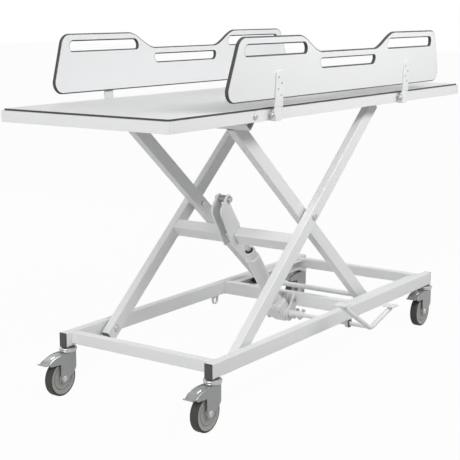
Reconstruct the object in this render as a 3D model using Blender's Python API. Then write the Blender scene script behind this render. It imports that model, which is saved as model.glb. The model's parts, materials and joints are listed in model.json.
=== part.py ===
"""Hydraulic changing trolley: a scissor-lift table on four braked castors.

Frame: metres, +Z up, +X towards the foot end, -Y on the pedal side.
The origin lies on the floor, in the middle of the trolley's outline.
"""

import math

import bmesh
import bpy
from mathutils import Matrix, Vector

# Fits
SEAT_GAP = 0.0003
RUN_GAP = 0.0003
WELD = 0.0002
ARC_DIGITS = 8

# Base frame
BASE_HEAD_X = -0.762
BASE_FOOT_X = 0.802
BASE_INSET = 0.013
TUBE_HEIGHT = 0.050
TUBE_WIDTH = 0.030
TUBE_WALL = 0.002
TUBE_CORNER = 0.003
CAP_FLANGE = 0.004
CAP_PLUG = 0.014
CROSS_HEIGHT = 0.040
CROSS_LIFT = 0.029
CROSS_WIDTH = 0.030
HEAD_CROSS_IN = 0.045
FOOT_CROSS_IN = 0.061

# Scissor lift
PIVOT_X = -0.545
LEG_LENGTH = 1.200
OUTER_LEG_ROOM = 0.010
INNER_LEG_ROOM = 0.013
OUTER_LEG_TAIL = 0.040
INNER_LEG_TAIL = 0.025
PIVOT_PIN_R = 0.007
PIVOT_HEAD_R = 0.012
PIVOT_HEAD_T = 0.006
TOP_PIN_R = 0.006
TOP_HEAD_R = 0.010
TOP_HEAD_T = 0.005
TOP_TUBE_DEPTH = 0.044
TOP_TUBE_WIDTH = 0.030
TOP_TUBE_OFFSET = 0.035
TOP_LUG_R = 0.014
TOP_LUG_T = 0.006
AXLE_R = 0.010
AXLE_END_ROOM = 0.004
ROLLER_R = 0.015
ROLLER_EDGE = 0.0015
ROLLER_ROOM = 0.006
TRACK_FLANGE = 0.003
TRACK_DEPTH = 0.034
TRACK_END_GAP = 0.003
LOWER_ROLLER_T = 0.022
UPPER_ROLLER_T = 0.020
END_LUG_T = 0.012
END_LUG_R = 0.0155
END_LUG_LENGTH = 0.032
END_PLUG = 0.012

# Lift lever and hydraulic unit
BAR_WIDTH = 0.042
BAR_DEPTH = 0.050
LEVER_PIN_ALONG = 0.5176
LEVER_PIN_RISE = 0.1465
LEVER_PIN_R = 0.008
LEVER_PIN_HEAD_R = 0.011
LEVER_PIN_HEAD_T = 0.004
LEVER_EYE_R = 0.0175
LEVER_PLATE_T = 0.008
LEVER_SHOULDER_R = 0.030
LEVER_SHOULDER_AHEAD = 0.0055
LEVER_SHOULDER_RISE = 0.128
LEVER_FRONT_AHEAD = 0.0321
LEVER_WAIST_AHEAD = 0.0349
LEVER_WAIST_RISE = 0.0718
LEVER_TOE_BACK = 0.0445
LEVER_TOE_TOP = 0.019
LEVER_TOE_DROP = 0.018
LEVER_TOE_R = 0.0095
SHAFT_FROM_PIN = 0.3699
SHAFT_DROP = 0.019
SHAFT_R = 0.008
MID_CROSS_AHEAD = 0.062
CYLINDER_R = 0.0275
CYLINDER_COLLAR_R = 0.0225
CYLINDER_BORE_R = 0.015
CYLINDER_FOOT = 0.062
CYLINDER_SHOULDER = 0.306
CYLINDER_TAPER = 0.008
CYLINDER_TOP = 0.3456
CYLINDER_FLOOR = 0.075
GLAND_CHAMFER = 0.002
ROD_R = 0.009
ROD_LENGTH = 0.330
ROD_ROOM = 0.0034
ROD_EYE_R = 0.0165
ROD_EYE_WIDTH = 0.0306
PUMP_HALF_Y = 0.0390
PUMP_HALF_X = 0.029
PUMP_TOE = 0.019
PUMP_BOTTOM = -0.028
PUMP_TOE_RISE = 0.012
PUMP_SHOULDER_RISE = 0.004
PUMP_SHOULDER_IN = 0.006
PUMP_TOP_DROP = 0.003
PUMP_BOSS_R = 0.024
PUMP_COLLAR_R = 0.0335
PUMP_COLLAR_FOOT = 0.046
TRUNNION_R = 0.016
CHEEK_Y = 0.0415
CHEEK_T = 0.006
CHEEK_R = 0.0265
CHEEK_TOP_DEPTH = 0.024
BRACKET_T = 0.008
BRACKET_DROP = 0.015
BRACKET_RISE = 0.048
TRUNNION_PROUD = 0.0045
SOCKET_DEPTH = 0.014
SOCKET_ROOM = 0.002
STUB_R = 0.011
STUB_LENGTH = 0.012
SLEEVE_R = 0.013
SLEEVE_LENGTH = 0.050
SLEEVE_BOLT_R = 0.005
SLEEVE_BOLT_REACH = 0.021
BEARING_R = 0.0165
BUSH_R = 0.012
BUSH_FLANGE_R = 0.0145
BUSH_FLANGE_T = 0.003
BEARING_LENGTH = 0.012
EYELET_T = 0.010
EYELET_FLARE = 0.005

# Rocker pedal
PEDAL_OUT = 0.0785
PEDAL_ROD_R = 0.009
PEDAL_BEND_R = 0.020
PEDAL_DROP = 0.005
HEAD_ARM = 0.249
HEAD_ARM_ANGLE = math.radians(30.9)
FOOT_ARM = 0.1646
FOOT_ARM_ANGLE = math.radians(15.3)
FOOT_PLATE_X = 0.048
FOOT_PLATE_Y = 0.048
FOOT_PLATE_T = 0.004
FOOT_PLATE_CORNER = 0.004

# Table
TABLE_LENGTH = 1.962
TABLE_WIDTH = 0.666
RAIL_TOP = 0.984
RAIL_HEIGHT = 0.036
RAIL_DEPTH = 0.033
RAIL_WALL = 0.003
PANEL_T = 0.0057
PANEL_INSET = 0.005
PANEL_CORNER = 0.008

# Guards
GUARD_HALF_LENGTH = 0.726
GUARD_END_SLANT = 0.040
GUARD_LIFT = 0.032
GUARD_HEIGHT = 0.1985
GUARD_DIP_DEPTH = 0.0555
GUARD_T = 0.012
GUARD_STANDOFF = 0.006
GUARD_LEAN = math.radians(3.0)
GUARD_TOP_CORNER = 0.045
GUARD_BOTTOM_CORNER = 0.038
GUARD_DIP_HALF = 0.182
GUARD_RAMP_END = 0.330
SLOT_BELOW_EDGE = 0.0255
SIDE_SLOT_HEIGHT = 0.032
MID_SLOT_HEIGHT = 0.0275
SIDE_SLOT_START = 0.284
SIDE_SLOT_MARGIN = 0.045
MID_SLOT_HALF = 0.190
SLOT_SMALL_R = 0.008
SLOT_LARGE_R = 0.018
STRAP_X = 0.443
STRAP_WIDTH = 0.046
STRAP_T = 0.004
STRAP_LAP = 0.091
STRAP_CORNER = 0.016
STRAP_FOOT_CORNER = 0.001
EAR_T = 0.0055
EAR_RISE = 0.020
EAR_STEP = 0.003
EAR_STEP_RISE = 0.004
HINGE_STANDOFF = 0.011
HINGE_DROP = 0.016
HINGE_PIN_R = 0.004
HINGE_HEAD_R = 0.0075
HINGE_HEAD_T = 0.004
LUG_RISE = 0.007
LUG_DROP = 0.002
LUG_FOOT_R = 0.006
LUG_TOP_R = 0.002
WEB_ROOM = 0.001

# Castors
CASTOR_IN = 0.025
CASTOR_TRAIL = 0.042
CASTOR_ROOM = 0.040
WHEEL_R = 0.0625
WHEEL_WIDTH = 0.030
HUB_PROUD = 0.00325
HUB_R = 0.0135
HUB_FOOT_R = 0.0145
WEB_SINK = 0.0025
RIM_R = 0.0540
RIM_SINK = 0.0008
TREAD_SINK = 0.0065
HUB_GAP = 0.00025
AXLE_BOLT_R = 0.005
AXLE_HEAD_R = 0.0095
AXLE_HEAD_T = 0.004
SWIVEL_DROP = 0.018
SWIVEL_R = 0.028
FORK_GAUGE = 0.003
FORK_FRONT = 0.0205
FORK_CHAMFER = 0.004
FORK_END_R = 0.013
KNEE_DROP = 0.045
KNEE_FRONT = 0.0185
KNEE_RISE = 0.0175
LEG_BACK = 0.0175
LEG_FLARE = 0.0155
WING_DROP = 0.0305
WING_HEEL = 0.1045
WING_HEEL_RISE = 0.0019
WING_REACH = 0.1134
WING_TIP_DROP = 0.0193
WING_TIP_RISE = 0.0035
WING_CROWN = 0.100
WING_CROWN_DROP = 0.003
WING_ROOT = 0.077
CROWN_BACK = 0.0305
CROWN_T = 0.004
BRAKE_PIVOT_X = -0.037
BRAKE_PIVOT_DROP = 0.013
BRAKE_BOSS_R = 0.005
BRAKE_SIDE_ROOM = 0.0005
BRAKE_GAUGE = 0.003
BRAKE_FRONT = 0.0325
BRAKE_FRONT_DROP = 0.0015
BRAKE_CROWN = 0.066
BRAKE_CROWN_DROP = 0.002
BRAKE_HEEL = 0.109
BRAKE_HEEL_DROP = 0.0195
LIP_DIP = 0.118
LIP_DIP_DROP = 0.0205
LIP_END = 0.126
LIP_END_DROP = 0.017
BRAKE_LUG_FRONT = 0.004
BRAKE_LUG_BACK = 0.015
BRAKE_LUG_BULGE = 0.004
BRAKE_LUG_RISE = 0.0088
BRAKE_LUG_DROP = 0.003

# Values worked out from the sizes above
CASTOR_HEIGHT = 2 * WHEEL_R + CASTOR_ROOM
FORK_TOP = CASTOR_HEIGHT - SWIVEL_DROP
HUB_WIDTH = WHEEL_WIDTH + 2 * HUB_PROUD
FORK_INNER = HUB_WIDTH / 2 + HUB_GAP
BRAKE_HALF_WIDTH = FORK_INNER - BRAKE_SIDE_ROOM
BRAKE_PIVOT_Z = FORK_TOP - BRAKE_PIVOT_DROP
RAIL_OUTER_Y = TABLE_WIDTH / 2
RAIL_INNER_Y = RAIL_OUTER_Y - RAIL_DEPTH
RAIL_BOTTOM = RAIL_TOP - RAIL_HEIGHT
BASE_WIDTH = TABLE_WIDTH - 2 * BASE_INSET
TUBE_Z = CASTOR_HEIGHT + TUBE_HEIGHT / 2
TUBE_Y = BASE_WIDTH / 2 - TUBE_WIDTH / 2
TUBE_INNER_Y = BASE_WIDTH / 2 - TUBE_WIDTH
CROSS_Z = CASTOR_HEIGHT + CROSS_LIFT
HEAD_CROSS_X = BASE_HEAD_X + HEAD_CROSS_IN
FOOT_CROSS_X = BASE_FOOT_X - FOOT_CROSS_IN
TOP_PIVOT_Z = RAIL_TOP - RAIL_HEIGHT / 2
LEG_ANGLE = math.asin((TOP_PIVOT_Z - TUBE_Z) / LEG_LENGTH)
HALF_LEG = LEG_LENGTH / 2
MID_PIVOT = (PIVOT_X + HALF_LEG * math.cos(LEG_ANGLE), 0, TUBE_Z + HALF_LEG * math.sin(LEG_ANGLE))
OUTER_LEG_OUT = TUBE_INNER_Y - OUTER_LEG_ROOM
OUTER_LEG_IN = OUTER_LEG_OUT - TUBE_WIDTH
OUTER_LEG_Y = OUTER_LEG_OUT - TUBE_WIDTH / 2
INNER_LEG_OUT = OUTER_LEG_IN - INNER_LEG_ROOM
INNER_LEG_IN = INNER_LEG_OUT - TUBE_WIDTH
INNER_LEG_Y = INNER_LEG_OUT - TUBE_WIDTH / 2
LEVER_PLATE_IN = ROD_EYE_WIDTH / 2 + SEAT_GAP
LEVER_OUT_Y = LEVER_PLATE_IN + LEVER_PLATE_T
PIN_X = PIVOT_X + LEVER_PIN_ALONG * math.cos(LEG_ANGLE) - LEVER_PIN_RISE * math.sin(LEG_ANGLE)
PIN_Z = TUBE_Z + LEVER_PIN_ALONG * math.sin(LEG_ANGLE) + LEVER_PIN_RISE * math.cos(LEG_ANGLE)
SHAFT_X = PIN_X + SHAFT_FROM_PIN
SHAFT_Z = CASTOR_HEIGHT - SHAFT_DROP
MID_CROSS_X = SHAFT_X + MID_CROSS_AHEAD
CYLINDER_ANGLE = math.atan2(PIN_Z - SHAFT_Z, PIN_X - SHAFT_X)
ROD_LEAN = math.pi / 2 + LEG_ANGLE - CYLINDER_ANGLE
ROD_SWING = (LEVER_PIN_RISE + BAR_DEPTH / 2) * math.tan(ROD_LEAN)
BAR_ALONG = LEVER_PIN_ALONG - BAR_WIDTH / 2 - ROD_R - ROD_ROOM - ROD_SWING
BRACKET_BOTTOM = CASTOR_HEIGHT - BRACKET_DROP
BRACKET_TOP = CASTOR_HEIGHT + BRACKET_RISE
TRUNNION_END = CHEEK_Y + CHEEK_T + TRUNNION_PROUD
HINGE_Y = RAIL_OUTER_Y + HINGE_STANDOFF
HINGE_Z = RAIL_TOP - HINGE_DROP
LUG_TOP = RAIL_TOP + LUG_RISE
LUG_BOTTOM = RAIL_BOTTOM - LUG_DROP
GUARD_OUTER_Y = HINGE_Y + GUARD_STANDOFF
GUARD_BOTTOM = RAIL_TOP + GUARD_LIFT
GUARD_HUMP = GUARD_BOTTOM + GUARD_HEIGHT
GUARD_DIP = GUARD_HUMP - GUARD_DIP_DEPTH
GUARD_TOP_HALF_LENGTH = GUARD_HALF_LENGTH - GUARD_END_SLANT
SIDE_SLOT_END = GUARD_TOP_HALF_LENGTH - SIDE_SLOT_MARGIN
STRAP_TOP = GUARD_BOTTOM + STRAP_LAP
STRAP_IN_Y = GUARD_OUTER_Y + SEAT_GAP
STRAP_OUT_Y = STRAP_IN_Y + STRAP_T
EAR_R = STRAP_OUT_Y - HINGE_Y
WEB_START = LUG_TOP + WEB_ROOM
GUARD_FACE = GUARD_STANDOFF * math.cos(GUARD_LEAN)
GUARD_REACH = HINGE_Y + GUARD_FACE + (GUARD_HUMP - HINGE_Z) * math.sin(GUARD_LEAN)
PEDAL_Y = -(BASE_WIDTH / 2 + PEDAL_OUT)
PEDAL_REACH = FOOT_PLATE_Y / 2 - PEDAL_Y
CENTRE_Y = (PEDAL_REACH - GUARD_REACH) / 2
SIDES = ("right", "left")
ENDS = {"head": BASE_HEAD_X + CASTOR_IN, "foot": BASE_FOOT_X - CASTOR_IN}
PLANES = {"xz": "xzy", "xy": "xyz", "yz": "yzx"}


def clear_scene():
    for item in list(bpy.data.objects):
        bpy.data.objects.remove(item, do_unlink=True)


def make_material(name, colour, roughness, metallic=0.0):
    finish = bpy.data.materials.new(name)
    finish.use_nodes = True
    shader = finish.node_tree.nodes["Principled BSDF"]
    shader.inputs["Base Color"].default_value = (*colour, 1.0)
    shader.inputs["Roughness"].default_value = roughness
    shader.inputs["Metallic"].default_value = metallic
    finish.diffuse_color = (*colour, 1.0)
    return finish


def make_empty(name, location, parent=None, turn_y=0.0, turn_x=0.0):
    pivot = bpy.data.objects.new(name, None)
    bpy.context.collection.objects.link(pivot)
    pivot.parent = parent
    pivot.location = location
    pivot.rotation_euler = (turn_x, turn_y, 0.0)
    return pivot


def add_piece(name, mesh, finish, parent, location=(0, 0, 0)):
    """One named sub-part with its own copy of the finish."""
    own_finish = finish.copy()
    own_finish.name = f"{name}_{finish.name}"
    piece = bpy.data.objects.new(name, mesh)
    bpy.context.collection.objects.link(piece)
    piece.parent = parent
    piece.location = location
    piece.data.materials.clear()
    piece.data.materials.append(own_finish)
    piece.data.shade_smooth()
    piece.data.set_sharp_from_angle(angle=math.radians(35))
    return piece


def to_mesh(bm, name):
    bmesh.ops.recalc_face_normals(bm, faces=bm.faces[:])
    mesh = bpy.data.meshes.new(name)
    bm.to_mesh(mesh)
    bm.free()
    return mesh


def arc(centre, radius, start_deg, end_deg, steps):
    """Points along an arc, both ends included."""
    points = []
    for step in range(steps + 1):
        angle = math.radians(start_deg + (end_deg - start_deg) * step / steps)
        a = centre[0] + radius * math.cos(angle)
        b = centre[1] + radius * math.sin(angle)
        points.append((round(a, ARC_DIGITS), round(b, ARC_DIGITS)))
    return points


def bend(start, corner, end, steps):
    """Points along a smooth bend that starts and ends towards one corner, both ends included."""
    points = []
    for step in range(steps + 1):
        share = step / steps
        first = [a + (b - a) * share for a, b in zip(start, corner)]
        second = [a + (b - a) * share for a, b in zip(corner, end)]
        points.append(tuple(round(a + (b - a) * share, ARC_DIGITS) for a, b in zip(first, second)))
    return points


def circle(centre, radius, segments):
    return arc(centre, radius, 0, 360 * (segments - 1) / segments, segments - 1)


def rounded_box(low, high, radii, steps=3):
    """Outline of a rectangle; radii run from the lower left corner, anticlockwise."""
    corners = ((low[0], low[1], 180), (high[0], low[1], 270), (high[0], high[1], 0), (low[0], high[1], 90))
    inward = ((1, 1), (-1, 1), (-1, -1), (1, -1))
    points = []
    for (a, b, start), (way_a, way_b), radius in zip(corners, inward, radii):
        centre = (a + way_a * radius, b + way_b * radius)
        points += arc(centre, radius, start, start + 90, steps)
    return points


def square_outline(centre, width, height, radius, steps=2):
    low = (centre[0] - width / 2, centre[1] - height / 2)
    high = (centre[0] + width / 2, centre[1] + height / 2)
    return rounded_box(low, high, (radius,) * 4, steps)


def prism(outline, start, end, plane="xz", holes=()):
    """A flat outline, with holes, pushed from start to end across its plane."""
    first, second, across = ("xyz".index(letter) for letter in PLANES[plane])
    bm = bmesh.new()
    edges = []
    for loop in (outline, *holes):
        ring = []
        for a, b in loop:
            place = [0.0, 0.0, 0.0]
            place[first], place[second], place[across] = a, b, start
            ring.append(bm.verts.new(place))
        edges += [bm.edges.new((ring[i - 1], ring[i])) for i in range(len(ring))]
    bmesh.ops.triangle_fill(bm, use_beauty=True, use_dissolve=False, edges=edges)
    pushed = bmesh.ops.extrude_face_region(bm, geom=bm.faces[:], use_keep_orig=True)
    step = Vector((0, 0, 0))
    step[across] = end - start
    moved = [item for item in pushed["geom"] if isinstance(item, bmesh.types.BMVert)]
    bmesh.ops.translate(bm, vec=step, verts=moved)
    return to_mesh(bm, "prism")


def rod(centre, radius, start, end, plane="xz", segments=12):
    return prism(circle(centre, radius, segments), start, end, plane)


def box(low, high):
    outline = [(low[0], low[2]), (high[0], low[2]), (high[0], high[2]), (low[0], high[2])]
    return prism(outline, low[1], high[1])


def rectangular_tube(centre, width, height, start, end, plane):
    """A hollow tube with rounded corners, open at both ends."""
    outer = square_outline(centre, width, height, TUBE_CORNER)
    inner = square_outline(centre, width - 2 * TUBE_WALL, height - 2 * TUBE_WALL, TUBE_CORNER - TUBE_WALL)
    return prism(outer, start, end, plane, holes=[inner])


def turned(profile, axis, segments, closed, flat_foot=False):
    """A profile of (radius, distance along the axis) points spun about that axis."""
    bm = bmesh.new()
    along = Vector((0, 0, 1)) if axis == "z" else Vector((0, 1, 0))
    half_step = math.pi / segments if flat_foot else 0.0
    out = Matrix.Rotation(half_step, 3, along) @ Vector((1, 0, 0)) / math.cos(half_step)
    ring = [bm.verts.new(out * radius + along * distance) for radius, distance in profile]
    pairs = len(ring) if closed else len(ring) - 1
    edges = [bm.edges.new((ring[i], ring[(i + 1) % len(ring)])) for i in range(pairs)]
    turn = math.tau
    bmesh.ops.spin(bm, geom=ring + edges, cent=(0, 0, 0), axis=along, angle=turn, steps=segments, use_merge=True)
    bmesh.ops.remove_doubles(bm, verts=bm.verts[:], dist=1e-6)
    bmesh.ops.dissolve_degenerate(bm, edges=bm.edges[:], dist=1e-6)
    return to_mesh(bm, "turned")


def shifted(mesh, offset):
    mesh.transform(Matrix.Translation(offset))
    return mesh


def combined(base, joined=(), cut=()):
    """The base mesh with some meshes welded on and others cut away."""
    work = bpy.data.objects.new("work", base)
    bpy.context.collection.objects.link(work)
    helpers = []
    for meshes, operation in ((joined, "UNION"), (cut, "DIFFERENCE")):
        for mesh in meshes:
            helper = bpy.data.objects.new("helper", mesh)
            bpy.context.collection.objects.link(helper)
            helper.hide_render = True
            helper.display_type = "WIRE"
            helpers.append(helper)
            step = work.modifiers.new(operation, "BOOLEAN")
            step.operation = operation
            step.solver = "EXACT"
            step.object = helper
    graph = bpy.context.evaluated_depsgraph_get()
    result = bpy.data.meshes.new_from_object(work.evaluated_get(graph))
    for item in (work, *helpers):
        bpy.data.objects.remove(item, do_unlink=True)
    bm = bmesh.new()
    bm.from_mesh(result)
    bmesh.ops.remove_doubles(bm, verts=bm.verts[:], dist=1e-6)
    return to_mesh(bm, "combined")


def side_sign(name):
    """Which way a side lies from the middle of the trolley."""
    return -1 if name == "right" else 1


def side_span(side, near, far):
    """Start and end across the trolley for a piece between two distances from the middle."""
    return (side * near, side * far)


# Base frame


def base_tube(side):
    """Long tube with its roller track, pivot stud and shaft bearing welded on."""
    head = BASE_HEAD_X + CAP_FLANGE
    foot = BASE_FOOT_X - CAP_FLANGE
    tube = rectangular_tube((side * TUBE_Y, TUBE_Z), TUBE_WIDTH, TUBE_HEIGHT, head, foot, "yz")
    track_start = MID_CROSS_X + CROSS_WIDTH / 2 + TRACK_END_GAP
    track_end = FOOT_CROSS_X - CROSS_WIDTH / 2 - SEAT_GAP
    clear = ROLLER_R + RUN_GAP
    inner = TUBE_INNER_Y - TRACK_DEPTH
    welds = []
    for way in (-1, 1):
        z_near = TUBE_Z + way * clear
        z_far = z_near + way * TRACK_FLANGE
        ends = sorted(side_span(side, inner, TUBE_INNER_Y + WELD))
        low = (track_start, ends[0], min(z_near, z_far))
        high = (track_end, ends[1], max(z_near, z_far))
        welds.append(box(low, high))
    centre = (PIVOT_X, TUBE_Z)
    welds.append(rod(centre, PIVOT_HEAD_R, *side_span(side, TUBE_INNER_Y + WELD, OUTER_LEG_OUT + SEAT_GAP)))
    pin_end = OUTER_LEG_IN - SEAT_GAP - PIVOT_HEAD_T
    welds.append(rod(centre, PIVOT_PIN_R, *side_span(side, TUBE_INNER_Y, pin_end + PIVOT_HEAD_T / 2)))
    welds.append(rod(centre, PIVOT_HEAD_R, *side_span(side, OUTER_LEG_IN - SEAT_GAP, pin_end), segments=6))
    length = BEARING_LENGTH if side < 0 else EYELET_T
    ring = side_span(side, TUBE_Y - length / 2, TUBE_Y + length / 2)
    neck_top = CASTOR_HEIGHT + WELD
    waist = 0.8 * BEARING_R
    flare = BEARING_R + EYELET_FLARE
    neck = [(SHAFT_X - flare, neck_top), (SHAFT_X - waist, SHAFT_Z), (SHAFT_X + waist, SHAFT_Z),
            (SHAFT_X + flare, neck_top)]
    neck_y = side_span(side, TUBE_Y - EYELET_T / 2, TUBE_Y + EYELET_T / 2)
    welds.append(prism(neck, *neck_y))
    welds.append(rod((SHAFT_X, SHAFT_Z), BEARING_R, *ring, segments=16))
    reach = side_span(side, TUBE_Y - length, TUBE_Y + length)
    bore = rod((SHAFT_X, SHAFT_Z), BUSH_R + SEAT_GAP, *reach, segments=16)
    return combined(tube, welds, [bore])


def cross_tube(centre_x, centre_z, height):
    end = TUBE_INNER_Y - SEAT_GAP
    return rectangular_tube((centre_x, centre_z), CROSS_WIDTH, height, -end, end, "xz")


def tube_cap(width, height):
    """Push-in end cap; its flange faces -X and its plug points to +X."""
    flange = prism(square_outline((0, 0), width, height, TUBE_CORNER), -CAP_FLANGE, -SEAT_GAP, "yz")
    room = 2 * (TUBE_WALL + SEAT_GAP)
    plug = prism(square_outline((0, 0), width - room, height - room, SEAT_GAP), -CAP_FLANGE / 2, CAP_PLUG, "yz")
    return combined(flange, [plug])


def shaft_bush():
    outer = TUBE_Y + BEARING_LENGTH / 2 + SEAT_GAP
    inner = TUBE_Y - BEARING_LENGTH / 2
    bore = SHAFT_R + RUN_GAP
    profile = [(bore, -inner), (BUSH_R, -inner), (BUSH_R, -outer), (BUSH_FLANGE_R, -outer),
               (BUSH_FLANGE_R, -outer - BUSH_FLANGE_T), (bore, -outer - BUSH_FLANGE_T)]
    return turned(profile, "y", 16, closed=True)


# Castors, with the swivel axis at the local origin and the floor at zero height


def castor_head():
    top = CASTOR_HEIGHT - SEAT_GAP
    foot = FORK_TOP + SEAT_GAP
    rim = (top - foot) / 2
    dome = arc((SWIVEL_R - rim, foot + rim), rim, -90, 90, 4)
    return turned([(0, foot), *dome, (0, top)], "z", 18, closed=False)


def fork_outline():
    """Side of the pressed fork: a leg down to the axle and a wing over the trailing wheel."""
    axle = (-CASTOR_TRAIL, WHEEL_R)
    end = arc(axle, FORK_END_R, -50, -180, 5)
    leg_back = axle[0] - LEG_BACK
    wing_low = FORK_TOP - WING_DROP
    points = [(FORK_FRONT - FORK_CHAMFER, FORK_TOP), (FORK_FRONT, FORK_TOP - FORK_CHAMFER)]
    points += bend((FORK_FRONT, FORK_TOP - KNEE_DROP), (KNEE_FRONT, WHEEL_R + KNEE_RISE), end[0], 4)[:-1]
    points += end
    points += [(leg_back, WHEEL_R + LEG_FLARE), (leg_back, wing_low)]
    heel = (-WING_HEEL, wing_low + WING_HEEL_RISE)
    tip = (-WING_REACH, FORK_TOP - WING_TIP_DROP)
    points += bend(heel, (-WING_REACH, wing_low + WING_TIP_RISE), tip, 3)
    points += bend(tip, (-WING_CROWN, FORK_TOP - WING_CROWN_DROP), (-WING_ROOT, FORK_TOP), 4)[1:]
    return points


def castor_fork():
    """Two pressed cheeks, the crown plate between them and the axle bolt."""
    outer = FORK_INNER + FORK_GAUGE
    cheek = prism(fork_outline(), -outer, -FORK_INNER)
    other = prism(fork_outline(), FORK_INNER, outer)
    reach = FORK_INNER + WELD
    crown_front = FORK_FRONT - FORK_CHAMFER
    crown = box((-CROWN_BACK, -reach, FORK_TOP - CROWN_T), (crown_front, reach, FORK_TOP))
    axle = (-CASTOR_TRAIL, WHEEL_R)
    bolt = rod(axle, AXLE_BOLT_R, -outer + WELD, outer - WELD)
    spans = ((-outer - AXLE_HEAD_T, -outer + WELD), (outer - WELD, outer + AXLE_HEAD_T))
    heads = [rod(axle, AXLE_HEAD_R, *span) for span in spans]
    return combined(cheek, [crown, other, bolt, *heads])


def castor_wheel():
    """Tyre and wheel centre, turned about the axle, with a facet flat on the floor."""
    half = WHEEL_WIDTH / 2
    hub = HUB_WIDTH / 2
    bore = AXLE_BOLT_R + RUN_GAP
    side = [(bore, hub), (HUB_R, hub), (HUB_FOOT_R, half - WEB_SINK), (RIM_R, half - RIM_SINK),
            (WHEEL_R, half - TREAD_SINK)]
    mirrored = [(radius, -distance) for radius, distance in reversed(side)]
    return turned(side + mirrored, "y", 28, closed=True, flat_foot=True)


def brake_pedal():
    """Curved foot pedal between the cheeks, about its own pivot."""
    half = BRAKE_HALF_WIDTH
    gauge = BRAKE_GAUGE
    front = (-BRAKE_FRONT, FORK_TOP - BRAKE_FRONT_DROP)
    heel = (-BRAKE_HEEL, FORK_TOP - BRAKE_HEEL_DROP)
    top = bend(front, (-BRAKE_CROWN, FORK_TOP - BRAKE_CROWN_DROP), heel, 4)
    lip = [(-LIP_DIP, FORK_TOP - LIP_DIP_DROP), (-LIP_END, FORK_TOP - LIP_END_DROP)]
    under_lip = [(x - gauge / 3, z - gauge) for x, z in reversed(lip)]
    under = [(x, z - gauge) for x, z in reversed(top)]
    sheet = prism(top + lip + under_lip + under, -half, half)
    x, z = BRAKE_PIVOT_X, BRAKE_PIVOT_Z
    boss = rod((x, z), BRAKE_BOSS_R, -half, half)
    back = x - BRAKE_LUG_BACK
    lug_outline = [(x + BRAKE_LUG_FRONT, z), (x + BRAKE_LUG_FRONT, z + BRAKE_LUG_RISE), (back, z + BRAKE_LUG_RISE),
                   (back - BRAKE_LUG_BULGE, z), (back, z - BRAKE_LUG_DROP), (x - BRAKE_LUG_DROP, z - BRAKE_LUG_DROP)]
    lug = prism(lug_outline, -half / 2, half / 2)
    solid = combined(sheet, [lug, boss])
    return shifted(solid, (-x, 0, -z))


# Outer scissor frame, along its leg from the fixed lower pivot


def outer_leg(side):
    y = side * OUTER_LEG_Y
    end = LEG_LENGTH - END_LUG_LENGTH
    leg = rectangular_tube((y, 0), TUBE_WIDTH, TUBE_HEIGHT, -OUTER_LEG_TAIL, end, "yz")
    plug = prism(square_outline((y, 0), TUBE_WIDTH, TUBE_HEIGHT, TUBE_CORNER), end - END_PLUG, end, "yz")
    lug = arc((LEG_LENGTH, 0), END_LUG_R, 90, -90, 7)
    lug += [(end - WELD, -END_LUG_R), (end - WELD, END_LUG_R)]
    tongue = prism(lug, y - END_LUG_T / 2, y + END_LUG_T / 2)
    span = (y - TUBE_WIDTH, y + TUBE_WIDTH)
    holes = [rod((0, 0), PIVOT_PIN_R + RUN_GAP, *span), rod((HALF_LEG, 0), PIVOT_PIN_R + RUN_GAP, *span)]
    holes.append(rod((LEG_LENGTH, 0), AXLE_R + RUN_GAP, *span, segments=16))
    return combined(leg, [plug, tongue], holes)


def lift_crossbar():
    end = OUTER_LEG_IN - SEAT_GAP
    return rectangular_tube((BAR_ALONG, 0), BAR_WIDTH, BAR_DEPTH, -end, end, "xz")


def lever_plate(side):
    """Curved lever cheek: an eye at the top, a swept back and a toe hooked round the crossbar."""
    pin = (LEVER_PIN_ALONG, LEVER_PIN_RISE)
    top = BAR_DEPTH / 2 + SEAT_GAP
    bar_low = BAR_ALONG - BAR_WIDTH / 2 - SEAT_GAP
    toe = BAR_ALONG - LEVER_TOE_BACK
    outline = [(bar_low, top), (BAR_ALONG + LEVER_FRONT_AHEAD, top)]
    outline += [(BAR_ALONG + LEVER_WAIST_AHEAD, LEVER_WAIST_RISE)]
    outline += arc(pin, LEVER_EYE_R, -100, 97, 9)
    shoulder = (BAR_ALONG + LEVER_SHOULDER_AHEAD, LEVER_SHOULDER_RISE)
    outline += arc(shoulder, LEVER_SHOULDER_R, 105, 172, 5)
    outline += [(toe, LEVER_TOE_TOP)]
    outline += arc((toe + LEVER_TOE_R, LEVER_TOE_R - LEVER_TOE_DROP), LEVER_TOE_R, 180, 270, 3)
    outline += [(bar_low, -LEVER_TOE_DROP)]
    hole = circle(pin, LEVER_PIN_R + SEAT_GAP, 12)
    return prism(outline, *side_span(side, LEVER_PLATE_IN, LEVER_OUT_Y), holes=[hole])


def lever_pin():
    pin = (LEVER_PIN_ALONG, LEVER_PIN_RISE)
    face = LEVER_OUT_Y + SEAT_GAP
    shank = rod(pin, LEVER_PIN_R, -face - WELD, face + WELD)
    heads = [rod(pin, LEVER_PIN_HEAD_R, way * face, way * (face + LEVER_PIN_HEAD_T)) for way in (-1, 1)]
    return combined(shank, heads)


def roller_axle(reach):
    return rod((0, 0), AXLE_R, -reach, reach, segments=16)


def track_roller(side, inner, thickness):
    """Flat-faced roller with a stepped hub, on the axle through the local origin."""
    bore = AXLE_R + SEAT_GAP
    edge = ROLLER_EDGE
    profile = [(bore, inner), (ROLLER_R - edge, inner), (ROLLER_R, inner + edge),
               (ROLLER_R, inner + thickness - edge), (ROLLER_R - edge, inner + thickness), (bore, inner + thickness)]
    return turned([(radius, side * distance) for radius, distance in profile], "y", 20, closed=True)


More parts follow.
